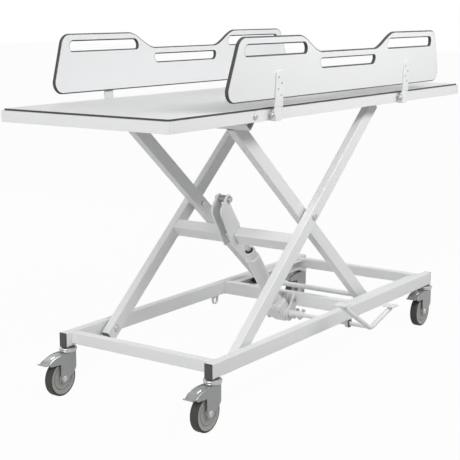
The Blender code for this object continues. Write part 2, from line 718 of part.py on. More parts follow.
def upper_roller_set():
    """Axle through the upper leg ends with a roller in each side rail."""
    outer = RAIL_OUTER_Y - RAIL_WALL - 2 * SEAT_GAP
    inner = outer - UPPER_ROLLER_T
    edge = ROLLER_EDGE
    radius = (RAIL_HEIGHT - 2 * RAIL_WALL) / 2 - RUN_GAP
    half = [(AXLE_R, inner), (radius - edge, inner), (radius, inner + edge),
            (radius, outer - edge), (radius - edge, outer), (0, outer)]
    mirrored = [(r, -d) for r, d in reversed(half)]
    return turned(mirrored + half, "y", 20, closed=False)


# Inner scissor frame, along its leg from the middle pivot


def inner_leg(side):
    """Leg with the middle pivot pin welded through it."""
    y = side * INNER_LEG_Y
    start = -HALF_LEG + TOP_TUBE_OFFSET + TOP_TUBE_WIDTH / 2 + SEAT_GAP
    end = HALF_LEG + INNER_LEG_TAIL
    leg = rectangular_tube((y, 0), TUBE_WIDTH, TUBE_HEIGHT, start, end, "yz")
    spacer = rod((0, 0), PIVOT_HEAD_R, *side_span(side, INNER_LEG_OUT - WELD, OUTER_LEG_IN - SEAT_GAP))
    pin_end = OUTER_LEG_OUT + SEAT_GAP + PIVOT_HEAD_T
    pin = rod((0, 0), PIVOT_PIN_R, *side_span(side, INNER_LEG_IN - PIVOT_HEAD_T / 2, pin_end - PIVOT_HEAD_T / 2))
    head = rod((0, 0), PIVOT_HEAD_R, *side_span(side, OUTER_LEG_OUT + SEAT_GAP, pin_end), segments=6)
    nut_span = side_span(side, INNER_LEG_IN - PIVOT_HEAD_T, INNER_LEG_IN + WELD)
    nut = rod((0, 0), PIVOT_HEAD_R, *nut_span, segments=6)
    hole = rod((HALF_LEG, 0), AXLE_R + RUN_GAP, y - TUBE_WIDTH, y + TUBE_WIDTH, segments=16)
    return combined(leg, [pin, spacer, head, nut], [hole])


def top_tube():
    """Cross tube of the inner frame with a pivot lug and bolt at each end."""
    end = RAIL_INNER_Y - 2 * SEAT_GAP
    centre = (-HALF_LEG + TOP_TUBE_OFFSET, 0)
    tube = rectangular_tube(centre, TOP_TUBE_WIDTH, TOP_TUBE_DEPTH, -end, end, "xz")
    welds = []
    for side in map(side_sign, SIDES):
        lug = arc((-HALF_LEG, 0), TOP_LUG_R, 90, 270, 6)
        lug += [(centre[0], -TOP_LUG_R), (centre[0], TOP_LUG_R)]
        welds.append(prism(lug, *side_span(side, end - TOP_LUG_T, end)))
        head_in = RAIL_OUTER_Y + SEAT_GAP
        pin_span = side_span(side, end - TOP_LUG_T / 2, head_in + TOP_HEAD_T / 2)
        welds.append(rod((-HALF_LEG, 0), TOP_PIN_R, *pin_span))
        head_span = side_span(side, head_in, head_in + TOP_HEAD_T)
        welds.append(rod((-HALF_LEG, 0), TOP_HEAD_R, *head_span, segments=6))
    return combined(tube, welds)


# Hydraulic unit, with the pedal shaft at the local origin and the cylinder along local Z


def pump_block():
    """Pump casting: trunnions in the bracket, a shaft socket and the cylinder collar."""
    wide, toe, low = PUMP_HALF_X, PUMP_TOE, PUMP_BOTTOM
    shoulder = PUMP_COLLAR_FOOT + PUMP_SHOULDER_RISE
    top = CYLINDER_FOOT - PUMP_TOP_DROP
    narrow = wide - PUMP_SHOULDER_IN
    outline = [(-toe, low), (toe, low), (wide, low + PUMP_TOE_RISE), (wide, shoulder), (narrow, top),
               (-narrow, top), (-wide, shoulder), (-wide, low + PUMP_TOE_RISE)]
    body = prism(outline, -PUMP_HALF_Y, PUMP_HALF_Y)
    boss_end = CHEEK_Y - SEAT_GAP
    boss = rod((0, 0), PUMP_BOSS_R, -boss_end, boss_end, segments=16)
    trunnion = rod((0, 0), TRUNNION_R, -TRUNNION_END, TRUNNION_END, segments=20)
    stub = rod((0, 0), STUB_R, TRUNNION_END - WELD, TRUNNION_END + STUB_LENGTH)
    collar = rod((0, 0), PUMP_COLLAR_R, PUMP_COLLAR_FOOT, CYLINDER_FOOT - SEAT_GAP, "xy", 20)
    socket = rod((0, 0), SHAFT_R + RUN_GAP, -TRUNNION_END - SOCKET_ROOM, SOCKET_DEPTH - TRUNNION_END)
    return combined(body, [boss, trunnion, stub, collar], [socket])


def lift_cylinder():
    """Cylinder tube with a stepped gland collar, open for the rod."""
    profile = [(0, CYLINDER_FOOT), (CYLINDER_R, CYLINDER_FOOT), (CYLINDER_R, CYLINDER_SHOULDER),
               (CYLINDER_COLLAR_R, CYLINDER_SHOULDER + CYLINDER_TAPER),
               (CYLINDER_COLLAR_R, CYLINDER_TOP - GLAND_CHAMFER), (CYLINDER_COLLAR_R - GLAND_CHAMFER, CYLINDER_TOP),
               (CYLINDER_BORE_R + GLAND_CHAMFER, CYLINDER_TOP), (CYLINDER_BORE_R, CYLINDER_TOP - GLAND_CHAMFER),
               (CYLINDER_BORE_R, CYLINDER_FLOOR), (0, CYLINDER_FLOOR)]
    return turned(profile, "z", 24, closed=False)


def piston_rod():
    """Rod hanging from its eye at the local origin."""
    shank = rod((0, 0), ROD_R, -ROD_LENGTH, -ROD_EYE_R / 2, "xy", 16)
    eye = rod((0, 0), ROD_EYE_R, -ROD_EYE_WIDTH / 2, ROD_EYE_WIDTH / 2, segments=20)
    bore = rod((0, 0), LEVER_PIN_R + RUN_GAP, -ROD_EYE_WIDTH, ROD_EYE_WIDTH)
    return combined(shank, [eye], [bore])


def pump_bracket():
    """Back plate on the middle cross tube with two pear-shaped cheeks for the trunnions."""
    back = MID_CROSS_X - CROSS_WIDTH / 2 - SEAT_GAP
    outer = CHEEK_Y + CHEEK_T
    plate = box((back - BRACKET_T, -outer, BRACKET_BOTTOM), (back, outer, BRACKET_TOP))
    root = back - BRACKET_T / 2
    cheek = [(root, BRACKET_TOP - WELD), (back - CHEEK_TOP_DEPTH, BRACKET_TOP - WELD)]
    cheek += arc((SHAFT_X, SHAFT_Z), CHEEK_R, 125, 300, 10)
    cheek += [(root, BRACKET_BOTTOM + WELD)]
    sides = [prism(cheek, *side_span(side, CHEEK_Y, outer - WELD)) for side in map(side_sign, SIDES)]
    holes = [rod((SHAFT_X, SHAFT_Z), TRUNNION_R + RUN_GAP, -2 * outer, 2 * outer, segments=20)]
    return combined(plate, sides, holes)


# Pedal, with the shaft axis at the local origin


def pedal_sweep():
    """Bent round bar: two arms meeting in a rounded bend under the shaft end."""
    head_way = Vector((-math.cos(HEAD_ARM_ANGLE), 0, math.sin(HEAD_ARM_ANGLE)))
    foot_way = Vector((math.cos(FOOT_ARM_ANGLE), 0, math.sin(FOOT_ARM_ANGLE)))
    bend = Vector((0, PEDAL_Y, -PEDAL_DROP))
    route = [bend + head_way * HEAD_ARM]
    steps = 6
    for step in range(steps + 1):
        share = step / steps
        start = bend + head_way * PEDAL_BEND_R
        end = bend + foot_way * PEDAL_BEND_R
        first = start.lerp(bend, share)
        second = bend.lerp(end, share)
        route.append(first.lerp(second, share))
    route.append(bend + foot_way * FOOT_ARM)
    curve = bpy.data.curves.new("pedal_bar", "CURVE")
    curve.dimensions = "3D"
    curve.bevel_depth = PEDAL_ROD_R
    curve.bevel_resolution = 2
    curve.use_fill_caps = True
    spline = curve.splines.new("POLY")
    spline.points.add(len(route) - 1)
    for point, place in zip(spline.points, route):
        point.co = (*place, 1.0)
    holder = bpy.data.objects.new("pedal_bar", curve)
    bpy.context.collection.objects.link(holder)
    graph = bpy.context.evaluated_depsgraph_get()
    mesh = bpy.data.meshes.new_from_object(holder.evaluated_get(graph))
    bpy.data.objects.remove(holder, do_unlink=True)
    bm = bmesh.new()
    bm.from_mesh(mesh)
    bmesh.ops.remove_doubles(bm, verts=bm.verts[:], dist=1e-6)
    return to_mesh(bm, "pedal_bar")


def foot_plate(arm, angle, way):
    """Flat foot plate welded on top of an arm's end."""
    x = way * arm * math.cos(angle)
    z = arm * math.sin(angle) - PEDAL_DROP + PEDAL_ROD_R * math.cos(angle) - FOOT_PLATE_T / 2
    outline = square_outline((x, PEDAL_Y), FOOT_PLATE_X, FOOT_PLATE_Y, FOOT_PLATE_CORNER)
    return prism(outline, z, z + FOOT_PLATE_T, "xy")


def rocker_pedal():
    start = SOCKET_DEPTH - TRUNNION_END - SOCKET_ROOM
    shaft = rod((0, 0), SHAFT_R, start, PEDAL_Y)
    plates = [foot_plate(HEAD_ARM, HEAD_ARM_ANGLE, -1), foot_plate(FOOT_ARM, FOOT_ARM_ANGLE, 1)]
    return combined(shaft, [pedal_sweep(), *plates])


def coupling_sleeve():
    """Sleeve joining pump and pedal shaft, with a cross bolt at each end."""
    start = -(TRUNNION_END + 3 * SEAT_GAP)
    end = start - SLEEVE_LENGTH
    sleeve = rod((0, 0), SLEEVE_R, start, end, segments=16)
    bolts = []
    for share in (0.3, 0.75):
        centre = (0, start - SLEEVE_LENGTH * share)
        bolts.append(rod(centre, SLEEVE_BOLT_R, -SLEEVE_BOLT_REACH, SLEEVE_BOLT_REACH, "xy", 10))
    bore = rod((0, 0), SHAFT_R + SEAT_GAP, start + SLEEVE_R, end - SLEEVE_R)
    return combined(sleeve, bolts, [bore])


# Table


def channel_outline(outer, way, top):
    """C section open to the middle; outer is its web's face and way points outwards."""
    inner = outer - way * RAIL_DEPTH
    web = outer - way * RAIL_WALL
    low = top - RAIL_HEIGHT
    return [(outer, low), (outer, top), (inner, top), (inner, top - RAIL_WALL), (web, top - RAIL_WALL),
            (web, low + RAIL_WALL), (inner, low + RAIL_WALL), (inner, low)]


def mitred_channel(length_axis, half_length, half_width, way):
    """Rail whose two ends are mitred to meet its neighbours."""
    plane, along, across = ("yz", 0, 1) if length_axis == "x" else ("xz", 1, 0)
    rail = prism(channel_outline(way * half_width, way, RAIL_TOP), -half_length, half_length, plane)
    for point in rail.vertices:
        depth = half_width - abs(point.co[across])
        end = half_length - depth - SEAT_GAP / 2
        point.co[along] = math.copysign(end, point.co[along])
    return rail


def hinge_lug(x, side):
    """Block on the rail's outer face that carries one guard strap."""
    half = STRAP_WIDTH / 2 - EAR_T - SEAT_GAP
    radii = (LUG_FOOT_R, LUG_FOOT_R, LUG_TOP_R, LUG_TOP_R)
    outline = rounded_box((x - half, LUG_BOTTOM), (x + half, LUG_TOP), radii)
    return prism(outline, *side_span(side, RAIL_OUTER_Y - WELD, STRAP_OUT_Y))


def side_rail(side):
    rail = mitred_channel("x", TABLE_LENGTH / 2, TABLE_WIDTH / 2, side)
    lugs = [hinge_lug(x, side) for x in (-STRAP_X, STRAP_X)]
    pivot_span = side_span(side, RAIL_OUTER_Y - 2 * RAIL_WALL, RAIL_OUTER_Y + RAIL_WALL)
    cuts = [rod((PIVOT_X, TOP_PIVOT_Z), TOP_PIN_R + RUN_GAP, *pivot_span)]
    for x in (-STRAP_X, STRAP_X):
        reach = (x - STRAP_WIDTH, x + STRAP_WIDTH)
        cuts.append(rod((side * HINGE_Y, HINGE_Z), HINGE_PIN_R + RUN_GAP, *reach, plane="yz", segments=10))
    return combined(rail, lugs, cuts)


def table_panel():
    half_length = TABLE_LENGTH / 2 - PANEL_INSET
    half_width = TABLE_WIDTH / 2 - PANEL_INSET
    outline = rounded_box((-half_length, -half_width), (half_length, half_width), (PANEL_CORNER,) * 4)
    start = RAIL_TOP + SEAT_GAP
    return prism(outline, start, start + PANEL_T, "xy")


# Guards, upright in their own frame about the hinge axis


def guard_outline():
    """Outline with two humps, a dip between them and slanted ends, from the right foot anticlockwise."""
    bottom = GUARD_BOTTOM - HINGE_Z
    hump = GUARD_HUMP - HINGE_Z
    dip = GUARD_DIP - HINGE_Z
    low_r = GUARD_BOTTOM_CORNER
    top_r = GUARD_TOP_CORNER
    side = arc((GUARD_HALF_LENGTH - low_r, bottom + low_r), low_r, -90, 8, 6)
    side += arc((GUARD_TOP_HALF_LENGTH - top_r, hump - top_r), top_r, 14, 90, 6)
    steps = 10
    for step in range(steps + 1):
        share = step / steps
        ease = share * share * (3 - 2 * share)
        x = GUARD_RAMP_END + (GUARD_DIP_HALF - GUARD_RAMP_END) * share
        side.append((x, hump + (dip - hump) * ease))
    return side + [(-x, z) for x, z in reversed(side)]


def guard_slots():
    """Three hand slots; each has its wide corners where the top edge rises or falls."""
    hump = GUARD_HUMP - HINGE_Z - SLOT_BELOW_EDGE
    dip = GUARD_DIP - HINGE_Z - SLOT_BELOW_EDGE
    small, large = SLOT_SMALL_R, SLOT_LARGE_R
    foot_end = rounded_box((SIDE_SLOT_START, hump - SIDE_SLOT_HEIGHT), (SIDE_SLOT_END, hump),
                           (small, small, small, large), 4)
    head_end = [(-x, z) for x, z in reversed(foot_end)]
    middle = rounded_box((-MID_SLOT_HALF, dip - MID_SLOT_HEIGHT), (MID_SLOT_HALF, dip),
                         (large, large, small, small), 4)
    return [head_end, middle, foot_end]


def guard_panel(side):
    outer = GUARD_OUTER_Y - HINGE_Y
    return prism(guard_outline(), *side_span(side, outer - GUARD_T, outer), holes=guard_slots())


def guard_strap(side, x):
    """Flat strap with two ears and the hinge pin between them."""
    web_in = STRAP_IN_Y - HINGE_Y
    web_out = STRAP_OUT_Y - HINGE_Y
    half = STRAP_WIDTH / 2
    top = STRAP_TOP - HINGE_Z
    start = WEB_START - HINGE_Z
    foot_r, top_r = STRAP_FOOT_CORNER, STRAP_CORNER
    web = rounded_box((x - half, start), (x + half, top), (foot_r, foot_r, top_r, top_r), 3)
    strap = prism(web, *side_span(side, web_in, web_out))
    welds = []
    for way in (-1, 1):
        inner = x + way * (half - EAR_T)
        outer = x + way * half
        ear = arc((0, 0), EAR_R, 180, 360, 6)
        ear += [(web_out, start + EAR_RISE), (web_in, start + EAR_RISE)]
        ear += [(web_in - EAR_STEP, start + EAR_STEP_RISE)]
        welds.append(prism([(side * y, z) for y, z in ear], inner, outer, "yz"))
        face = x + way * (half - WELD)
        welds.append(rod((0, 0), HINGE_HEAD_R, face, face + way * HINGE_HEAD_T, "yz", 8))
    reach = half + HINGE_HEAD_T / 2
    welds.append(rod((0, 0), HINGE_PIN_R, x - reach, x + reach, "yz", 10))
    return combined(strap, welds)


def build_base(trolley, paint, plastic):
    for name in SIDES:
        add_piece(f"base_tube_{name}", base_tube(side_sign(name)), paint, trolley)
    add_piece("cross_tube_head", cross_tube(HEAD_CROSS_X, CROSS_Z, CROSS_HEIGHT), paint, trolley)
    add_piece("cross_tube_middle", cross_tube(MID_CROSS_X, TUBE_Z, TUBE_HEIGHT), paint, trolley)
    add_piece("cross_tube_foot", cross_tube(FOOT_CROSS_X, CROSS_Z, CROSS_HEIGHT), paint, trolley)
    for end, x, turn in (("head", BASE_HEAD_X + CAP_FLANGE, 0), ("foot", BASE_FOOT_X - CAP_FLANGE, math.pi)):
        for name in SIDES:
            cap = add_piece(f"tube_cap_{end}_{name}", tube_cap(TUBE_WIDTH, TUBE_HEIGHT), plastic, trolley)
            cap.location = (x, side_sign(name) * TUBE_Y, TUBE_Z)
            cap.rotation_euler = (0, 0, turn)
    add_piece("shaft_bush", shaft_bush(), plastic, trolley, (SHAFT_X, 0, SHAFT_Z))


def build_castors(trolley, zinc, wheel_grey):
    head_mesh = castor_head()
    fork_mesh = castor_fork()
    wheel_mesh = castor_wheel()
    brake_mesh = brake_pedal()
    for end, x in ENDS.items():
        for name in SIDES:
            tag = f"{end}_{name}"
            axle = (-CASTOR_TRAIL, 0, WHEEL_R)
            brake_pivot = (BRAKE_PIVOT_X, 0, BRAKE_PIVOT_Z)
            swivel = make_empty(f"castor_{tag}", (x, side_sign(name) * TUBE_Y, 0), trolley)
            add_piece(f"castor_head_{tag}", head_mesh.copy(), zinc, swivel)
            add_piece(f"castor_fork_{tag}", fork_mesh.copy(), zinc, swivel)
            add_piece(f"castor_wheel_{tag}", wheel_mesh.copy(), wheel_grey, swivel, axle)
            add_piece(f"brake_pedal_{tag}", brake_mesh.copy(), zinc, swivel, brake_pivot)


def build_scissor(trolley, paint, plastic, zinc, rubber):
    outer = make_empty("outer_frame", (PIVOT_X, 0, TUBE_Z), trolley, turn_y=-LEG_ANGLE)
    inner = make_empty("inner_frame", MID_PIVOT, trolley, turn_y=LEG_ANGLE)
    lower_axle = make_empty("lower_axle_line", (HALF_LEG, 0, 0), inner)
    upper_axle = make_empty("upper_axle_line", (LEG_LENGTH, 0, 0), outer)
    for name in SIDES:
        side = side_sign(name)
        add_piece(f"outer_leg_{name}", outer_leg(side), paint, outer)
        add_piece(f"inner_leg_{name}", inner_leg(side), paint, inner)
        add_piece(f"lever_plate_{name}", lever_plate(side), paint, outer)
        cap = add_piece(f"leg_cap_{name}", tube_cap(TUBE_WIDTH, TUBE_HEIGHT), plastic, outer)
        cap.location = (-OUTER_LEG_TAIL, side * OUTER_LEG_Y, 0)
        roller = track_roller(side, TUBE_INNER_Y - LOWER_ROLLER_T - ROLLER_ROOM, LOWER_ROLLER_T)
        add_piece(f"lower_roller_{name}", roller, rubber, lower_axle)
    add_piece("lift_crossbar", lift_crossbar(), paint, outer)
    add_piece("lever_pin", lever_pin(), zinc, outer)
    add_piece("upper_roller_set", upper_roller_set(), rubber, upper_axle)
    add_piece("inner_top_tube", top_tube(), paint, inner)
    add_piece("lower_axle", roller_axle(TUBE_INNER_Y - AXLE_END_ROOM), paint, lower_axle)


def build_hydraulics(trolley, paint, chrome):
    tilt = math.pi / 2 - CYLINDER_ANGLE
    unit = make_empty("pump_unit", (SHAFT_X, 0, SHAFT_Z), trolley, turn_y=tilt)
    hanger = make_empty("rod_hanger", (PIN_X, 0, PIN_Z), trolley, turn_y=tilt)
    add_piece("pump_block", pump_block(), paint, unit)
    add_piece("lift_cylinder", lift_cylinder(), paint, unit)
    add_piece("piston_rod", piston_rod(), chrome, hanger)
    add_piece("pump_bracket", pump_bracket(), paint, trolley)


def build_pedal(trolley, paint):
    shaft = make_empty("pedal_shaft_line", (SHAFT_X, 0, SHAFT_Z), trolley)
    add_piece("rocker_pedal", rocker_pedal(), paint, shaft)
    add_piece("coupling_sleeve", coupling_sleeve(), paint, shaft)


def build_table(trolley, paint, laminate):
    table = make_empty("table", (0, 0, 0), trolley)
    for name in SIDES:
        add_piece(f"side_rail_{name}", side_rail(side_sign(name)), paint, table)
    add_piece("end_rail_head", mitred_channel("y", TABLE_WIDTH / 2, TABLE_LENGTH / 2, -1), paint, table)
    add_piece("end_rail_foot", mitred_channel("y", TABLE_WIDTH / 2, TABLE_LENGTH / 2, 1), paint, table)
    add_piece("table_panel", table_panel(), laminate, table)


def build_guards(trolley, paint, laminate):
    for name in SIDES:
        side = side_sign(name)
        hinge = make_empty(f"guard_{name}", (0, side * HINGE_Y, HINGE_Z), trolley, turn_x=-side * GUARD_LEAN)
        add_piece(f"guard_panel_{name}", guard_panel(side), laminate, hinge)
        for end, x in (("head", -STRAP_X), ("foot", STRAP_X)):
            add_piece(f"guard_strap_{end}_{name}", guard_strap(side, x), paint, hinge)


def main():
    clear_scene()
    paint = make_material("white_powder_coat", (0.80, 0.80, 0.80), 0.45)
    plastic = make_material("dark_plastic", (0.07, 0.07, 0.07), 0.55)
    zinc = make_material("zinc_plate", (0.42, 0.43, 0.43), 0.35, 0.9)
    chrome = make_material("polished_rod", (0.45, 0.45, 0.45), 0.2, 1.0)
    wheel_grey = make_material("wheel_grey", (0.30, 0.29, 0.28), 0.6)
    rubber = make_material("roller_plastic", (0.05, 0.05, 0.05), 0.6)
    laminate = make_material("white_laminate", (0.83, 0.83, 0.83), 0.35)
    trolley = make_empty("trolley", (0, CENTRE_Y, 0))
    build_base(trolley, paint, plastic)
    build_castors(trolley, zinc, wheel_grey)
    build_scissor(trolley, paint, plastic, zinc, rubber)
    build_hydraulics(trolley, paint, chrome)
    build_pedal(trolley, paint)
    build_table(trolley, paint, laminate)
    build_guards(trolley, paint, laminate)


main()
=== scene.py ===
"""Looks of a hydraulic changing trolley, laid out as a Blender add-on and run as a script."""

import json
import math

import bpy
from bpy.props import FloatProperty, FloatVectorProperty, PointerProperty
from mathutils import Matrix, Vector


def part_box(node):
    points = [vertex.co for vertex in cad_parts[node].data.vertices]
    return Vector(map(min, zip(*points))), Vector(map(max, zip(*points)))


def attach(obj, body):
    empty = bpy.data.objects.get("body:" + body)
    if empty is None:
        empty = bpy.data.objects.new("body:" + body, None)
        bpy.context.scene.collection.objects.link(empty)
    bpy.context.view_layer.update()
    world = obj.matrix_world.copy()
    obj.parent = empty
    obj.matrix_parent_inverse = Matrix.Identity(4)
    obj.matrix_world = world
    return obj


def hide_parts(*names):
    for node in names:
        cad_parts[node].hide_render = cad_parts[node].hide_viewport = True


bl_info = {
    "name": "Changing Trolley Looks",
    "version": (1, 0, 0),
    "blender": (4, 5, 0),
    "location": "View3D > Sidebar > Trolley",
    "description": "Dresses the packed frame of a hydraulic changing trolley",
    "category": "Object",
}

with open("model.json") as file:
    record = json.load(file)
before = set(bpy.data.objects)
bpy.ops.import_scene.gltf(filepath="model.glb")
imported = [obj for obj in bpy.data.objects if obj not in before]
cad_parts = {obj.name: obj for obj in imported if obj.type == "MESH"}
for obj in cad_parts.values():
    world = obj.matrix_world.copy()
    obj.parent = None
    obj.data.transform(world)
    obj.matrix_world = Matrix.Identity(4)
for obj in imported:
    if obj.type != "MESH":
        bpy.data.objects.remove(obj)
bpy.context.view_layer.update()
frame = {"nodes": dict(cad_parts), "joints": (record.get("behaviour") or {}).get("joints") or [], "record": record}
NODES = frame["nodes"]
NODE_SLOTS = {row["node"]: row["material_slot"] for row in frame["record"]["subparts"]}
PIVOTS = {joint["name"]: Vector(joint["pos_m"]) for joint in frame["joints"]}
MIDDLE_Y = PIVOTS["lift"].y
SIDES = {"right": -1, "left": 1}
ENDS = {"head": -1, "foot": 1}
QUARTER = math.pi / 2

# Gap between neighbours that do not touch, and the distance within which points are merged

GAP = 0.0003
MERGE = 0.000002


def slope(start, end):
    """Turn about Y that lays the X axis along the line between two pivots."""
    line = PIVOTS[end] - PIVOTS[start]
    return -math.atan2(line.z, line.x)


# Axes of the moving frames, each an origin and a turn about Y

HALF_LEG = (PIVOTS["scissor_pivot"] - PIVOTS["lift"]).length
OUTER = (PIVOTS["lift"], slope("lift", "upper_roller_spin"))
INNER = (PIVOTS["scissor_pivot"], slope("scissor_pivot", "lower_roller_spin"))
PUMP = (PIVOTS["pump_tilt"], slope("pump_tilt", "rod_pivot") + QUARTER)
ROD = (PIVOTS["rod_pivot"], PUMP[1])


def cad_box(node, origin, turn, axis="Y"):
    """Corners of a CAD node, measured from an origin along axes that are turned."""
    unturn = Matrix.Rotation(-turn, 3, axis)
    places = [unturn @ (vertex.co - origin) for vertex in NODES[node].data.vertices]
    return Vector(map(min, zip(*places))), Vector(map(max, zip(*places)))


def on_axis(pivot):
    """Place of an axis along Y, for a piece that is modelled at its own Y."""
    return Vector((PIVOTS[pivot].x, 0, PIVOTS[pivot].z))


# Sizes and colours that a user may change


def length(name, text, value):
    return FloatProperty(name=name, description=text, default=value, precision=4,
                         unit="LENGTH", subtype="DISTANCE")


def colour(name, text, value):
    return FloatVectorProperty(name=name, description=text, default=value, subtype="COLOR", min=0.0, max=1.0)


class TrolleySizes(bpy.types.PropertyGroup):
    plate_edge: length("Plate edge", "Edge radius of painted steel plates", 0.0009)
    panel_edge: length("Panel edge", "Edge radius of the table panel", 0.0014)
    guard_edge: length("Guard edge", "Edge radius of the side guards", 0.0041)
    board_thickness: length("Board thickness", "Thickness of the side guards", 0.012)
    screw_radius: length("Screw head", "Head radius of the strap screws", 0.0040)
    bolt_radius: length("Bolt head", "Head radius of the scissor's pivot bolts", 0.0125)
    tyre_side: length("Tyre side", "Radius where the dark tyre meets the wheel's side", 0.0555)
    lever_edge: length("Lever edge", "Edge radius of the lift lever's plates", 0.0036)
    weld_radius: length("Weld bead", "Radius of the weld beads between tubes", 0.0018)
    tube_wall: length("Tube wall", "Wall of the rectangular tubes", 0.002)
    tube_corner: length("Tube corner", "Corner radius of the rectangular tubes", 0.003)
    cap_flange: length("Cap flange", "Thickness of the tube caps' flange", 0.004)
    wheel_radius: length("Wheel", "Radius of the castor wheels", 0.0625)
    foot_plate: length("Foot plate", "Side of the pedal's foot plates", 0.048)
    strap_width: length("Strap width", "Width of the guard straps", 0.046)
    strap_place: length("Strap place", "Distance of the guard straps from the middle", 0.443)


class TrolleyColours(bpy.types.PropertyGroup):
    paint: colour("Paint", "White powder coat of the frame", (0.785, 0.79, 0.79))
    laminate: colour("Laminate", "White face of the table and the guards", (0.79, 0.795, 0.80))
    core: colour("Core", "Dark core of the laminate boards", (0.035, 0.035, 0.037))
    plastic: colour("Plastic", "Tube caps and bush", (0.060, 0.058, 0.056))
    tread: colour("Tread", "Tread of the castor tyres", (0.055, 0.054, 0.052))
    wheel: colour("Wheel", "Side of the castor wheels", (0.365, 0.36, 0.342))
    zinc: colour("Zinc", "Zinc plate of the castors", (0.32, 0.325, 0.325))
    steel: colour("Steel", "Bolts and the piston rod", (0.50, 0.50, 0.495))
    # Painted highlight: a near-white colour laid on the castors' upward-facing cheek edges and on the brake's rib
    edge: colour("Edge", "Painted highlight on the upper edges of the castors", (0.86, 0.865, 0.865))


# Selection and finishing


def clear_selection():
    """Leaves object mode with nothing selected."""
    if bpy.context.object and bpy.context.object.mode != "OBJECT":
        bpy.ops.object.mode_set(mode="OBJECT")
    bpy.ops.object.select_all(action="DESELECT")


def make_active(piece):
    clear_selection()
    piece.select_set(True)
    bpy.context.view_layer.objects.active = piece
    return piece


def settle(piece, location=(0, 0, 0), turn=(0, 0, 0)):
    """Puts a piece in its place and writes that place into its mesh."""
    make_active(piece)
    piece.location = location
    piece.rotation_euler = turn
    bpy.ops.object.transform_apply(location=True, rotation=True, scale=True)
    return piece


def place_in(piece, origin, turn):
    """Settles a piece that was modelled along axes turned about Y."""
    return settle(piece, origin, (0, turn, 0))


def facing(way):
    """Turn about Z for a fitting that looks along its axis or against it."""
    return (0, 0, 0 if way > 0 else math.pi)


def apply_modifier(piece, kind, **settings):
    make_active(piece)
    modifier = piece.modifiers.new(kind, kind)
    for key, value in settings.items():
        setattr(modifier, key, value)
    bpy.ops.object.modifier_apply(modifier=modifier.name)
    return piece


def soften(piece, radius):
    """Rounds the sharp edges of a piece."""
    return apply_modifier(piece, "BEVEL", width=radius, segments=2, limit_method="ANGLE",
                          angle_limit=math.radians(30))


def edit_all(piece):
    """Opens a piece for editing with everything selected."""
    make_active(piece)
    bpy.ops.object.mode_set(mode="EDIT")
    bpy.ops.mesh.select_mode(type="VERT")
    bpy.ops.mesh.select_all(action="SELECT")


def close_edit(piece):
    """Merges doubles, clears what is loose, turns the faces outwards and closes edit mode."""
    bpy.ops.mesh.select_all(action="SELECT")
    bpy.ops.mesh.remove_doubles(threshold=MERGE)
    bpy.ops.mesh.dissolve_degenerate(threshold=MERGE)
    bpy.ops.mesh.select_all(action="SELECT")
    bpy.ops.mesh.delete_loose()
    bpy.ops.mesh.select_all(action="SELECT")
    bpy.ops.mesh.normals_make_consistent(inside=False)
    bpy.ops.object.mode_set(mode="OBJECT")
    return piece


def cleaned(piece):
    edit_all(piece)
    return close_edit(piece)


def combine(piece, other, operation):
    """Unites two closed meshes, or keeps what they share; the second is used up."""
    apply_modifier(piece, "BOOLEAN", operation=operation, solver="EXACT", object=other)
    bpy.data.objects.remove(other, do_unlink=True)
    return cleaned(piece)


def press_face(piece, normal, margin, depth):
    """Insets the widest face that looks along a normal and pushes it out by a depth."""
    make_active(piece)
    looking = [face for face in piece.data.polygons if face.normal.dot(normal) > 0.99]
    widest = max(looking, key=lambda face: face.area).index
    bpy.ops.object.mode_set(mode="EDIT")
    bpy.ops.mesh.select_mode(type="FACE")
    bpy.ops.mesh.select_all(action="DESELECT")
    bpy.ops.object.mode_set(mode="OBJECT")
    piece.data.polygons[widest].select = True
    bpy.ops.object.mode_set(mode="EDIT")
    bpy.ops.mesh.inset(thickness=margin)
    bpy.ops.mesh.extrude_region_move(TRANSFORM_OT_translate={"value": normal * depth})
    return close_edit(piece)


def cut_plane(piece, point, normal):
    """Cuts away what lies beyond a plane and closes the cut."""
    edit_all(piece)
    bpy.ops.mesh.bisect(plane_co=point, plane_no=normal, use_fill=True, clear_outer=True)
    return close_edit(piece)


def coat(piece, finish):
    piece.data.materials.clear()
    piece.data.materials.append(FINISHES[finish])
    return piece


def paint_faces(piece, finish, wanted):
    """Gives a second finish to the faces whose centre and normal answer a test."""
    piece.data.materials.append(FINISHES[finish])
    slot = len(piece.data.materials) - 1
    for face in piece.data.polygons:
        if wanted(face.center, face.normal):
            face.material_index = slot
    return piece


def copy_of(piece, offset):
    """A second piece of the same shape with a mesh of its own."""
    twin = piece.copy()
    twin.data = piece.data.copy()
    bpy.context.collection.objects.link(twin)
    twin.data.transform(Matrix.Translation(offset))
    return twin


def joined(pieces):
    """Several meshes as one piece; each keeps its own finish."""
    make_active(pieces[0])
    for piece in pieces[1:]:
        piece.select_set(True)
    bpy.ops.object.join()
    return pieces[0]


def painted_with_bolts(painted, bolts):
    """Painted parts and bright fittings as one piece."""
    return joined([coat(part, "paint") for part in painted] + [coat(bolt, "bolt") for bolt in bolts])


def hand_over(piece, body, name, slot="white_paint"):
    """Names and smooths a finished piece, coats it with its slot's finish when it has none, ties it to its body
    and hides the CAD node of its name.
    """
    replaced = name in NODES
    slot = NODE_SLOTS.get(name, slot)
    piece.name = f"{name}_look" if replaced else name
    if not piece.data.materials:
        coat(piece, SLOT_FINISH[slot])
    make_active(piece)
    bpy.ops.object.shade_smooth_by_angle(angle=math.radians(38))
    apply_modifier(piece, "WEIGHTED_NORMAL", keep_sharp=True)
    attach(piece, body)
    if replaced:
        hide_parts(name)


# Outlines and profiles, as lists of points


def arc(centre, radius, start, end, steps):
    """Points on an arc between two angles in degrees, both ends included."""
    angles = [math.radians(start + (end - start) * step / steps) for step in range(steps + 1)]
    return [(centre[0] + radius * math.cos(a), centre[1] + radius * math.sin(a)) for a in angles]


